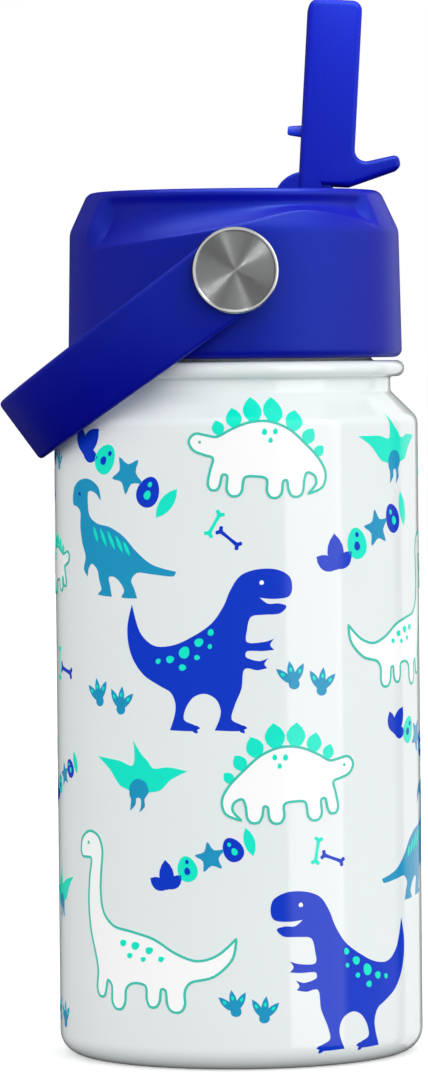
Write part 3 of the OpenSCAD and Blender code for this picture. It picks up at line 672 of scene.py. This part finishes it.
# ---- Lid ----
# One injection-moulded polypropylene shell: side wall, bevel, a wave-shaped scoop at the
# front and its mirror at the back, the spout's tray and hinge cradle, and the straw nipple.
def tidy_normals(piece, weld=0):
    """Turns every face outwards, and joins points that are nearer than weld, in metres."""
    bm = bmesh.new()
    bm.from_mesh(piece.data)
    bmesh.ops.recalc_face_normals(bm, faces=bm.faces)
    if weld:
        bmesh.ops.remove_doubles(bm, verts=bm.verts, dist=weld)
    bm.to_mesh(piece.data)
    bm.free()


def solid(name, rings, material=None):
    """A closed solid through equal rings of points."""
    made = new_piece(name, *swept(rings), material)
    tidy_normals(made)
    return made


def prism(name, outline, low, high, along="Z"):
    """A closed solid: an outline of (first, second) pairs drawn out from low to high."""
    return solid(name, [[(a, b, c) if along == "Z" else (a, c, b) for a, b in outline]
                        for c in (low, high)])


def combine(piece, how, tools, smooth_angle=35):
    """Adds (UNION) or cuts (DIFFERENCE) each tool from a closed piece."""
    for tool in tools:
        step = piece.modifiers.new("step", "BOOLEAN")
        step.operation, step.solver, step.object = how, "EXACT", tool
    graph = bpy.context.evaluated_depsgraph_get()
    mesh = bpy.data.meshes.new_from_object(piece.evaluated_get(graph))
    piece.modifiers.clear()
    piece.data = mesh
    for tool in tools:
        bpy.data.objects.remove(tool)
    mesh.shade_smooth()
    mesh.set_sharp_from_angle(angle=math.radians(smooth_angle))


def circle(x, y, radius, steps=48):
    """The outline of a full circle."""
    return arc(x, y, radius, 0, 360 * (1 - 1 / steps), steps - 1)


def soft_min(a, b, softness):
    """The smaller of two values, with a rounded crossing."""
    return -softness * math.log(math.exp(-a / softness) + math.exp(-b / softness))


def smooth_step(x):
    """A share from 0 to 1 that starts and ends level."""
    x = min(1, max(0, x))
    return x * x * (3 - 2 * x)


LID_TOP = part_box("lid_shell")[1].z / MM
BEVEL_H, BEVEL_IN, LID_DRAFT, LID_EDGE, TOP_ROUND = 8, 3.7, 0.5, 1.7, 1.2
BEVEL_Z = LID_TOP - BEVEL_H
RIM, SCOOP_W, SCOOP_DEEP_R, RIM_OUT = 3.0, 29.3, 28.7, 0.6
# how far the scoop takes to start inside its width, and its lower edge to run out beyond it
SCOOP_EASE, SCOOP_FADE, EDGE_FADE = 0.2, 2.2, 2.5
# how softly the bevel meets the side wall, and the scoop the surface round it
BEVEL_SOFT, SCOOP_SOFT = 0.14, 0.16
# the scoop's lower edge: place as a share of its half width, and depth under the lid's top
WAVE = [(-1, 11.6), (-0.62, 10.2), (-0.25, 8.7), (0.09, 6.8), (0.28, 5.4),
        (0.46, 4.5), (0.62, 4.7), (0.76, 5.4), (0.9, 6.6), (1, 7.9)]


def wave_depth(x):
    """Depth of the scoop's lower edge at x, on a smooth curve through the wave's points."""
    share = min(1, max(-1, x / SCOOP_W))
    i = max(k for k in range(len(WAVE) - 1) if WAVE[k][0] <= share)
    x0, x1 = WAVE[i][0], WAVE[i + 1][0]
    t = (share - x0) / (x1 - x0)

    def slope(k):
        """Steepness of the curve at one of the wave's points."""
        a, b = WAVE[max(0, k - 1)], WAVE[min(len(WAVE) - 1, k + 1)]
        return (b[1] - a[1]) / (b[0] - a[0]) * (x1 - x0)

    return ((2 * t ** 3 - 3 * t ** 2 + 1) * WAVE[i][1] + (t ** 3 - 2 * t ** 2 + t) * slope(i)
            + (3 * t ** 2 - 2 * t ** 3) * WAVE[i + 1][1] + (t ** 3 - t ** 2) * slope(i + 1))


def plain_r(z):
    """Radius of the lid's side and bevel, without the scoops."""
    if z < LID_FOOT + LID_EDGE:
        drop = LID_FOOT + LID_EDGE - z
        return LID_R - LID_EDGE + math.sqrt(max(0, LID_EDGE ** 2 - drop ** 2))
    wall = LID_R - LID_DRAFT * (z - LID_FOOT) / (BEVEL_Z - LID_FOOT)
    bevel = LID_R - LID_DRAFT - BEVEL_IN * (z - BEVEL_Z) / (LID_TOP - BEVEL_Z)
    return soft_min(wall, bevel, BEVEL_SOFT)


def lid_r(z, edge_z, share):
    """Radius of the lid's outside where the scoop's lower edge is at edge_z."""
    plain = plain_r(z)
    top = LID_TOP - RIM
    up = min(1, (z - edge_z) / (top - edge_z))
    reach = plain_r(edge_z) - SCOOP_DEEP_R
    hollow = SCOOP_DEEP_R + reach * ((1 - up) ** 2 if up > 0 else 1 - 2 * up)
    return (1 - share) * plain + share * soft_min(plain, hollow, SCOOP_SOFT)


# rows of points lie close together at the crease under the bevel and at the scoop's edge
COLUMNS = 360
CREASE_BELOW, CREASE_START, CREASE_HALF, EDGE_HALF, RIM_GAP = 2.4, 1.2, 0.8, 1.0, 0.3
columns = []
for k in range(COLUMNS):
    a = 2 * math.pi * k / COLUMNS
    x = LID_R * math.cos(a)
    share = smooth_step((SCOOP_W + SCOOP_EASE - abs(x)) / SCOOP_FADE)
    beyond = smooth_step((abs(x) - SCOOP_W) / EDGE_FADE)
    edge_z = LID_TOP - (wave_depth(x) * (1 - beyond) + BEVEL_H * beyond)
    crease = min(BEVEL_Z, edge_z - CREASE_BELOW)
    foot, top = LID_FOOT + LID_EDGE, LID_TOP - RIM
    levels = [LID_FOOT + LID_EDGE * (1 - math.cos(math.radians(b))) for b in (0, 18, 36, 54, 72)]
    levels += [foot + (crease - CREASE_START - foot) * i / 16 for i in range(17)]
    levels += [crease + d for d in (-CREASE_HALF, -0.4, 0, 0.4, CREASE_HALF)]
    levels += [crease + CREASE_HALF + (edge_z - EDGE_HALF - crease - CREASE_HALF) * i / 4
               for i in (1, 2, 3)]
    levels += [edge_z + d for d in (-EDGE_HALF, -0.7, -0.45, -0.25, -0.1,
                                    0, 0.1, 0.25, 0.45, 0.7, EDGE_HALF)]
    levels += [edge_z + EDGE_HALF + (top - RIM_GAP - edge_z - EDGE_HALF) * i / 12
               for i in range(1, 13)]
    column = [(lid_r(z, edge_z, share), z) for z in levels]
    # rim over the hollow: it stands out again with small roundings, up to the top face
    for h, out in ((0.0, 0.0), (0.4, 0.06), (0.8, 0.2), (1.2, 0.4), (1.6, 0.55)):
        column.append(((1 - share) * plain_r(top + h) + share * (SCOOP_DEEP_R + out), top + h))
    for b in (0, 15, 30, 45, 60, 75, 90):
        rise = TOP_ROUND * math.sin(math.radians(b))
        back = TOP_ROUND * (1 - math.cos(math.radians(b)))
        lean = BEVEL_IN / BEVEL_H * rise * (1 - share)
        column.append(((1 - share) * (plain_r(LID_TOP - TOP_ROUND) - lean - back)
                       + share * (SCOOP_DEEP_R + RIM_OUT - back), LID_TOP - TOP_ROUND + rise))
    columns.append([(r * math.cos(a), r * math.sin(a), z) for r, z in column])

# the hollow inside: a straight socket for the liner, then a cone up to the top wall
LINER_R, TOP_WALL = 30.9, 1.8
INSIDE = [(LINER_R, LID_FOOT), (LINER_R, BEVEL_Z - 4.4), (26.0, BEVEL_Z + 3),
          (26.0, LID_TOP - TOP_WALL)]
for k, column in enumerate(columns):
    a = 2 * math.pi * k / COLUMNS
    column[0:0] = [(r * math.cos(a), r * math.sin(a), z) for r, z in reversed(INSIDE)]
ROWS = len(columns[0])
points = [p for column in columns for p in column]
faces = []
for k in range(COLUMNS):
    here, beyond = k * ROWS, (k + 1) % COLUMNS * ROWS
    faces += [[here + i, beyond + i, beyond + i + 1, here + i + 1] for i in range(ROWS - 1)]
faces += [[k * ROWS + ROWS - 1 for k in range(COLUMNS)],
          [k * ROWS for k in range(COLUMNS - 1, -1, -1)]]


# Homopolymer PP, royal blue masterbatch, out of a finely spark-eroded mould: a satin skin.
def satin_polypropylene(name, cloud, dark, light, grain, rough, sheen):
    """Coloured PP with faint flow clouds in it and the grain of the mould on it."""
    material, tree = new_material(name)
    surface(tree, add_node(tree, "ShaderNodeBsdfPrincipled", {
        "Base Color": mottle(tree, cloud, 3.0, colour(dark), colour(light)), "Roughness": rough,
        "IOR": 1.49, "Specular IOR Level": sheen, "Specular Tint": colour("9cdcff"),
        "Normal": uneven_skin(tree, 2500.0, 2.0, grain, 0.0001)}))
    return material


plastic = satin_polypropylene("moulded_polypropylene_royal_blue", 45.0, "040590", "050698",
                              0.25, 0.42, 0.25)
lid = new_piece("moulded_lid", points, faces, plastic)
tidy_normals(lid)

# tray, cradle and nipple, from the spout's and straw's places
HINGE = next(j for j in frame["joints"] if j["name"] == "spout_flip")["pos_m"]
HINGE_X, HINGE_Z = HINGE[0] / MM, HINGE[2] / MM
SPOUT_LEN, SPOUT_HALF, SPOUT_CLEAR, DRUM_R, INNER_FACE = 40.7, 7.5, 0.4, 6.4, 1.4
TRAY_Z = HINGE_Z - INNER_FACE - SPOUT_CLEAR - 0.2
TRAY_Y, TRAY_TIP, TRAY_WALL = SPOUT_HALF + SPOUT_CLEAR, SPOUT_LEN + 1.1, 1.6
CRADLE_R, CRADLE_WALL, PIN_R = DRUM_R + SPOUT_CLEAR, 3, 1.5
STRAW_X, STRAW_R, STRAW_BORE = 17.0, 3.2, 2.3
GASKET_Z, GASKET_R = HINGE_Z - DRUM_R - 2.4, 3.4
NIPPLE_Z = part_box("straw")[1].z / MM + 0.2
VENT_X, VENT_R = HINGE_X - 14.5, 2.6
PIVOT_Z, BOSS_R, BOSS_PROUD, SHANK_R = LID_TOP - 16.2, 6.5, 0.1, 3


def box(x0, x1, y0, y1):
    """The outline of a rectangle."""
    return [(x0, y0), (x1, y0), (x1, y1), (x0, y1)]


def soft_box(x0, x1, y0, y1, radius):
    """The outline of a rectangle with round corners."""
    return (arc(x1 - radius, y1 - radius, radius, 0, 90) + arc(x0 + radius, y1 - radius, radius, 90, 180)
            + arc(x0 + radius, y0 + radius, radius, 180, 270)
            + arc(x1 - radius, y0 + radius, radius, 270, 360))


BLOCK_Z = GASKET_Z - 1.5
SPAN = CRADLE_R + TRAY_WALL
combine(lid, "UNION", [
    prism("tray_block", box(HINGE_X - TRAY_TIP - TRAY_WALL + 2, HINGE_X, -TRAY_Y - TRAY_WALL,
                            TRAY_Y + TRAY_WALL), TRAY_Z - TOP_WALL, LID_TOP - 1),
    prism("cradle_block", box(HINGE_X - SPAN, HINGE_X + SPAN, -TRAY_Y - CRADLE_WALL,
                              TRAY_Y + CRADLE_WALL), BLOCK_Z, LID_TOP - 1),
    prism("nipple", circle(STRAW_X, 0, STRAW_R), NIPPLE_Z, BLOCK_Z + 1),
    prism("boss_front", circle(0, PIVOT_Z, BOSS_R), -LID_R - BOSS_PROUD, -LINER_R, "Y"),
    prism("boss_back", circle(0, PIVOT_Z, BOSS_R), LINER_R, LID_R + BOSS_PROUD, "Y")])


def flared(name, outline_at, bottom):
    """A cutter with an outline given for its growth, opening in a small bevel at the top."""
    levels = [(0, bottom), (0, LID_TOP - 0.5), (0.15, LID_TOP - 0.2), (0.5, LID_TOP + 0.05),
              (0.5, LID_TOP + 2)]
    return solid(name, [[(x, y, z) for x, y in outline_at(grow)] for grow, z in levels])


TRAY_CORNER, CRADLE_CORNER = 2.2, 0.6
PIN_DEEP = TRAY_Y + CRADLE_WALL - 0.1
combine(lid, "DIFFERENCE", [
    flared("tray", lambda g: soft_box(HINGE_X - TRAY_TIP - g, HINGE_X, -TRAY_Y - g, TRAY_Y + g,
                                      TRAY_CORNER + g), TRAY_Z),
    flared("cradle_mouth", lambda g: soft_box(HINGE_X - CRADLE_R - g, HINGE_X + CRADLE_R + g,
                                              -TRAY_Y - g, TRAY_Y + g, CRADLE_CORNER + g), HINGE_Z),
    prism("cradle", circle(HINGE_X, HINGE_Z, CRADLE_R, 72), -TRAY_Y, TRAY_Y, "Y"),
    prism("gasket_seat", circle(STRAW_X, 0, GASKET_R), GASKET_Z, HINGE_Z),
    prism("straw_bore", circle(STRAW_X, 0, STRAW_BORE), NIPPLE_Z - 1, HINGE_Z),
    prism("vent_bore", circle(VENT_X, 0, VENT_R), TRAY_Z - TOP_WALL - 1, TRAY_Z + 1),
    prism("pin_bore", circle(HINGE_X, HINGE_Z, PIN_R), -PIN_DEEP, PIN_DEEP, "Y"),
    prism("shank_bore_front", circle(0, PIVOT_Z, SHANK_R), -LID_R - 2, -LINER_R + 1, "Y"),
    prism("shank_bore_back", circle(0, PIVOT_Z, SHANK_R), LINER_R - 1, LID_R + 2, "Y")])
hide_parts("lid_shell")
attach(lid, "lid")
BLUE_PARTS.objects.link(lid)


# ---- Spout ----
# A moulded flip-up spout of the same polypropylene: a flat arm with soft edges, a drum that
# turns on two steel pins, a thumb tab, and the drinking channel right through its length.
SPOUT_LEAN = math.radians(3.5)
OUTER_FACE, HEEL_Z, TAB_OUT = 9.3, 3.9, 9.6


def outline_of(corners):
    """A closed outline from (x, y, radius) corners, each rounded to its radius."""
    made, count = [], len(corners)
    for i, (x, y, radius) in enumerate(corners):
        before, after = corners[i - 1][:2], corners[(i + 1) % count][:2]
        made += blend_corner(before, (x, y), after, radius) if radius else [(x, y)]
    return made


def inset(outline, amount):
    """The outline moved inwards; it runs anticlockwise."""
    made, count = [], len(outline)
    for i in range(count):
        before, here, after = (Vector(outline[j % count]) for j in (i - 1, i, i + 1))
        u, v = (here - before).normalized(), (after - here).normalized()
        normal = Vector((-u.y - v.y, u.x + v.x))
        normal /= max(0.3, normal.length_squared / 2)
        made.append(tuple(here + normal * amount))
    return made


def slab(name, outline, half, edge, material=None):
    """A plate across Y with the outline (x, z), its long edges rounded to the edge radius."""
    levels = [(edge * (1 - math.cos(math.radians(b))), half - edge + edge * math.sin(math.radians(b)))
              for b in (90, 72, 54, 36, 18, 0)]
    levels += [(d, -y) for d, y in reversed(levels)]
    return solid(name, [[(x, y, z) for x, z in inset(outline, d)] for d, y in levels], material)


arm = outline_of([(-INNER_FACE, 0, 0), (3.2, 0, 0), (3.2, HEEL_Z, 0), (OUTER_FACE - 0.6, HEEL_Z, 1.5),
                  (OUTER_FACE + TAB_OUT - 0.2, 8.0, 1.2), (OUTER_FACE + TAB_OUT - 0.9, 10.7, 1.1),
                  (OUTER_FACE, 8.3, 2.2), (OUTER_FACE, SPOUT_LEN, 2), (-INNER_FACE, SPOUT_LEN, 2)])
spout = slab("moulded_spout", arm, SPOUT_HALF, 1.0, plastic)
combine(spout, "UNION", [slab("drum", circle(0, 0, DRUM_R, 72), SPOUT_HALF - 0.9, 0.6)])
# the drinking channel, which opens out at the lip, and the blind holes for the pins
BORE_R, LIP_R, BORE_X, PIN_HOLE_R, PIN_END = 2.5, 3.1, 3.2, PIN_R + 0.05, 3.9
channel = [(0, -DRUM_R - 1), (BORE_R, -DRUM_R - 1), (BORE_R, SPOUT_LEN - 0.7),
           (BORE_R + 0.15, SPOUT_LEN - 0.35), (LIP_R, SPOUT_LEN + 0.02), (LIP_R, SPOUT_LEN + 2),
           (0, SPOUT_LEN + 2)]
drill = turned("drill", channel, None, 48)
drill.data.transform(Matrix.Translation(Vector((BORE_X, 0, 0)) * MM))
tidy_normals(drill, 1e-6)
combine(spout, "DIFFERENCE", [
    drill, prism("pin_hole_front", circle(0, 0, PIN_HOLE_R), -SPOUT_HALF - 1, -PIN_END, "Y"),
    prism("pin_hole_back", circle(0, 0, PIN_HOLE_R), PIN_END, SPOUT_HALF + 1, "Y")])
UPRIGHT = (Matrix.Translation(Vector((HINGE_X, 0, HINGE_Z)) * MM)
           @ Matrix.Rotation(SPOUT_LEAN, 4, "Y"))
spout.data.transform(UPRIGHT)
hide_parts("spout")
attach(spout, "spout")
BLUE_PARTS.objects.link(spout)


# ---- Vent plug ----
# A small silicone plug pressed into the spout's inner face. It closes the lid's air vent
# when the spout is folded.
silicone, tree = new_material("moulded_silicone_blue")
surface(tree, add_node(tree, "ShaderNodeBsdfPrincipled", {
    "Base Color": mottle(tree, 800.0, 3.0, colour("1734c8"), colour("1e3ed6")),
    "Roughness": 0.55, "IOR": 1.41,
    "Subsurface Weight": 0.1, "Subsurface Radius": (0.001, 0.001, 0.002)}))
PLUG_AT, PLUG_LEN = 14.5, 2.8
plug = turned("vent_plug_stem", [(0.001, -0.4), (1.15, -0.4), (1.15, 0)]
              + arc(1.05, 0.1, 0.15, -90, 0, 4)
              + [(0.95, PLUG_LEN - 0.4)] + arc(0.6, PLUG_LEN - 0.25, 0.25, 0, 90, 5)
              + [(0.001, PLUG_LEN)], silicone, 48)
tidy_normals(plug)
plug.data.transform(UPRIGHT @ Matrix.Translation(Vector((-INNER_FACE, 0, PLUG_AT)) * MM)
                    @ Matrix.Rotation(math.radians(-90), 4, "Y"))
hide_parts("vent_plug")
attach(plug, "spout")
BLUE_PARTS.objects.link(plug)


# ---- Carry strap ----
# A springy moulded U of polypropylene with round eyes, 3 mm thick, that swings on the two
# rivets. Its edges are rounded by the mould, and it is a shade darker than the lid.
STRAP_T, STRAP_EYE_W, STRAP_BEND_W, STRAP_SOFT = 3, 16, 14, 0.9
WASHER_T, WASHER_PLAY, STRAP_GAP, STRAP_PAST = 0.6, 0.1, 0.3, 17.1
STRAP_Y = LID_R + BOSS_PROUD + WASHER_T + WASHER_PLAY
STRAP_REACH = LID_R + STRAP_PAST
BEND_R = STRAP_Y + STRAP_T / 2
BEND_X = -(STRAP_REACH - STRAP_Y)
EYE_R = STRAP_EYE_W / 2
STRAP_DROP = (math.acos((SHELL_R + STRAP_GAP) / math.hypot(STRAP_REACH, STRAP_BEND_W / 2))
              - math.atan(STRAP_BEND_W / 2 / STRAP_REACH))


def strap_ring(x):
    """The strap's section at x along its length, as (across, proud) pairs."""
    deep = STRAP_T / 2
    if x > EYE_R - STRAP_SOFT:
        fall = STRAP_SOFT - (EYE_R - x)
        deep += math.sqrt(max(0, STRAP_SOFT ** 2 - fall ** 2)) - STRAP_SOFT
    heights = [deep * math.sin(math.radians(b)) for b in (-90, -65, -45, -28, -14, 0)]
    ring = []
    for h in heights + [-h for h in reversed(heights[:-1])]:
        proud = abs(h) - (STRAP_T / 2 - STRAP_SOFT)
        soft = STRAP_SOFT - math.sqrt(max(0, STRAP_SOFT ** 2 - proud ** 2)) if proud > 0 else 0
        if x > 0:
            wide = math.sqrt(max(0.0004, (EYE_R - soft) ** 2 - x ** 2))
        else:
            end_x = STRAP_REACH + STRAP_T
            wide = (STRAP_EYE_W + (STRAP_BEND_W - STRAP_EYE_W) * -x / end_x) / 2 - soft
        ring.append((wide, h))
    return ring + [(-w, h) for w, h in reversed(ring)]


straight = [(EYE_R * math.sin(math.radians(b)), -BEND_R, 0)
            for b in (90, 84, 77, 68, 58, 46, 34, 22, 11)]
straight += [(BEND_X * i / 6, -BEND_R, 0) for i in range(6)]
BENDS = 72
bend = [math.pi * i / BENDS for i in range(BENDS + 1)]
stations = straight + [(BEND_X - BEND_R * math.sin(a), -BEND_R * math.cos(a), a) for a in bend]
stations += [(x, -y, math.pi) for x, y, a in reversed(straight)]
rings = [[(x - math.sin(a) * h, y - math.cos(a) * h, w) for w, h in strap_ring(x)]
         for x, y, a in stations]

strap_plastic = satin_polypropylene("moulded_polypropylene_deep_blue", 40.0, "04058c", "050695",
                                    0.2, 0.46, 0.22)
strap = solid("moulded_carry_strap", rings, strap_plastic)
combine(strap, "DIFFERENCE", [
    prism("eye", circle(0, 0, SHANK_R + 0.05), -STRAP_Y - 5, STRAP_Y + 5, "Y")])
strap.data.transform(Matrix.Translation((0, 0, PIVOT_Z * MM))
                     @ Matrix.Rotation(-STRAP_DROP, 4, "Y"))
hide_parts("carry_strap")
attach(strap, "strap")
BLUE_PARTS.objects.link(strap)


# ---- Rivets ----
# Turned stainless rivets hold the strap. Each cap has a polished rim round a disc that was
# brushed while it spun, so its fine rings throw fan-shaped streaks of light.
CAP_R, CAP_T, CAP_RIM, CAP_DISH = 8.45, 2, 0.75, 0.3
CAP_Y = STRAP_Y + STRAP_T + 0.1
SHANK_IN = LINER_R - 4.9

brushed, tree = new_material("spun_brushed_stainless_steel")
place = add_node(tree, "ShaderNodeTexCoord")
axes = add_node(tree, "ShaderNodeSeparateXYZ", {"Vector": place.outputs["Object"]})
flat = add_node(tree, "ShaderNodeCombineXYZ", {"X": axes.outputs["X"], "Y": axes.outputs["Y"]})
radius = add_node(tree, "ShaderNodeVectorMath", {0: flat.outputs["Vector"]}, operation="LENGTH")
# brush lines 0.05 to 0.1 mm apart, drawn 0.25 mm apart so that they show
brush_lines = add_node(tree, "ShaderNodeTexNoise", {"W": radius.outputs["Value"],
                                                    "Scale": 4000.0, "Detail": 2.0},
                       noise_dimensions="1D")
shades = add_node(tree, "ShaderNodeMix", {"Factor": brush_lines.outputs["Fac"],
                                          "A": colour("b4b5b6"), "B": colour("cfd0d1")},
                  data_type="RGBA")
bump = add_node(tree, "ShaderNodeBump", {"Height": brush_lines.outputs["Fac"], "Strength": 0.15,
                                         "Distance": 0.00005})
round_axis = add_node(tree, "ShaderNodeTangent", direction_type="RADIAL", axis="Z")
surface(tree, add_node(tree, "ShaderNodeBsdfPrincipled", {
    "Base Color": shades.outputs["Result"], "Metallic": 1.0, "Roughness": 0.26,
    "Anisotropic": 0.95, "Anisotropic Rotation": 0.25, "Normal": bump.outputs["Normal"],
    "Tangent": round_axis.outputs["Tangent"]}))

polished, tree = new_material("polished_stainless_steel")
haze = object_noise(tree, 900.0, 3.0)
gloss = add_node(tree, "ShaderNodeMapRange", {"Value": haze.outputs["Fac"], "To Min": 0.14,
                                              "To Max": 0.24})
surface(tree, add_node(tree, "ShaderNodeBsdfPrincipled", {
    "Base Color": colour("d9dadb"), "Metallic": 1.0, "Roughness": gloss.outputs["Result"]}))

DISC_R, DISC_T, CAP_EDGE, CAP_LIP, SHANK_EDGE = CAP_R - CAP_RIM, 0.5, 0.3, 0.35, 0.3
DISC_Z = CAP_T - CAP_DISH
SHANK_Z = SHANK_IN - CAP_Y
rivet_outline = ([(0.001, SHANK_Z), (SHANK_R - SHANK_EDGE, SHANK_Z), (SHANK_R, SHANK_Z + SHANK_EDGE),
                  (SHANK_R, 0), (CAP_R - CAP_EDGE, 0)]
                 + arc(CAP_R - CAP_EDGE, CAP_EDGE, CAP_EDGE, -90, 0, 4)
                 + arc(CAP_R - CAP_LIP, CAP_T - CAP_LIP, CAP_LIP, 0, 90, 6)
                 + [(DISC_R + 0.15, CAP_T), (DISC_R, DISC_Z), (DISC_R - 0.3, DISC_Z - 0.05),
                    (0.001, DISC_Z - 0.05)])
disc_outline = [(0.001, CAP_T - DISC_T), (DISC_R, CAP_T - DISC_T), (DISC_R, DISC_Z),
                (DISC_R / 2, DISC_Z), (0.001, DISC_Z)]
for side, name in ((-1, "front"), (1, "back")):
    facing = (Matrix.Translation(Vector((0, side * CAP_Y, PIVOT_Z)) * MM)
              @ Matrix.Rotation(math.radians(-90 * side), 4, "X"))
    rivet = turned("rivet_" + name + "_body", rivet_outline, polished, 96)
    tidy_normals(rivet)
    rivet.matrix_world = facing
    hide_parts("rivet_" + name)
    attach(rivet, "lid")
    face = turned("rivet_" + name + "_brushed_disc", disc_outline, brushed, 96)
    tidy_normals(face)
    face.matrix_world = facing
    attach(face, "lid")
    RIM_PARTS.objects.link(rivet)
    RIVET_PARTS.objects.link(face)


# ---- Inside ----
# Parts that show only from below, through the mouth or as the spout folds: pressed and drawn
# steel, the threaded liner, silicone seals, the straw and the strap's washers.
def dress(node, material):
    """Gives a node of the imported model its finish."""
    mesh = frame["nodes"][node].data
    mesh.materials.clear()
    mesh.materials.append(material)


def brushed_sheet(name, code, rough, stretch):
    """Steel with fine drawing or brushing lines; stretch sets the lines' direction."""
    material, tree = new_material(name)
    place = add_node(tree, "ShaderNodeTexCoord")
    run = add_node(tree, "ShaderNodeMapping", {"Vector": place.outputs["Object"], "Scale": stretch})
    lines = add_node(tree, "ShaderNodeTexNoise", {"Vector": run.outputs["Vector"], "Scale": 1.0,
                                                  "Detail": 4.0})
    gloss = add_node(tree, "ShaderNodeMapRange", {"Value": lines.outputs["Fac"],
                                                  "To Min": rough - 0.06, "To Max": rough + 0.08})
    bump = add_node(tree, "ShaderNodeBump", {"Height": lines.outputs["Fac"], "Strength": 0.1,
                                             "Distance": 0.00005})
    surface(tree, add_node(tree, "ShaderNodeBsdfPrincipled", {
        "Base Color": colour(code), "Metallic": 1.0, "Roughness": gloss.outputs["Result"],
        "Normal": bump.outputs["Normal"]}))
    return material


def soft_part(name, light, dark, rough, index, through=0.0):
    """Moulded soft or clear plastic with faint clouding; through lets light pass."""
    material, tree = new_material(name)
    surface(tree, add_node(tree, "ShaderNodeBsdfPrincipled", {
        "Base Color": mottle(tree, 400.0, 3.0, colour(dark), colour(light)), "Roughness": rough,
        "IOR": index, "Transmission Weight": through}))
    return material


dress("inner_vessel", brushed_sheet("deep_drawn_stainless_steel", "c4c6c8", 0.34, (900, 900, 40)))
pressed = brushed_sheet("pressed_stainless_sheet", "bcbec0", 0.38, (60, 1800, 400))
dress("base_plate", pressed)
dress("base_cover", pressed)
dress("spout_pins", polished)
dress("rivet_clips", pressed)
dress("vacuum_seal", soft_part("fused_seal_glass", "4a4d50", "3a3d40", 0.2, 1.5))
dress("getter", soft_part("pressed_zirconium_getter", "77797b", "606264", 0.6, 1.45))
dress("lid_seal", silicone)
dress("spout_gasket", silicone)
dress("vent_valve", silicone)
dress("lid_liner", plastic)
dress("straw_sleeve", soft_part("clear_silicone_sleeve", "eef3f8", "e2e9f0", 0.35, 1.41, 0.4))
dress("straw", soft_part("extruded_clear_polypropylene", "f2f6fa", "e8eef4", 0.25, 1.49, 0.5))
dress("strap_washers", soft_part("natural_acetal_washer", "f3f2ec", "e8e7e0", 0.35, 1.48))
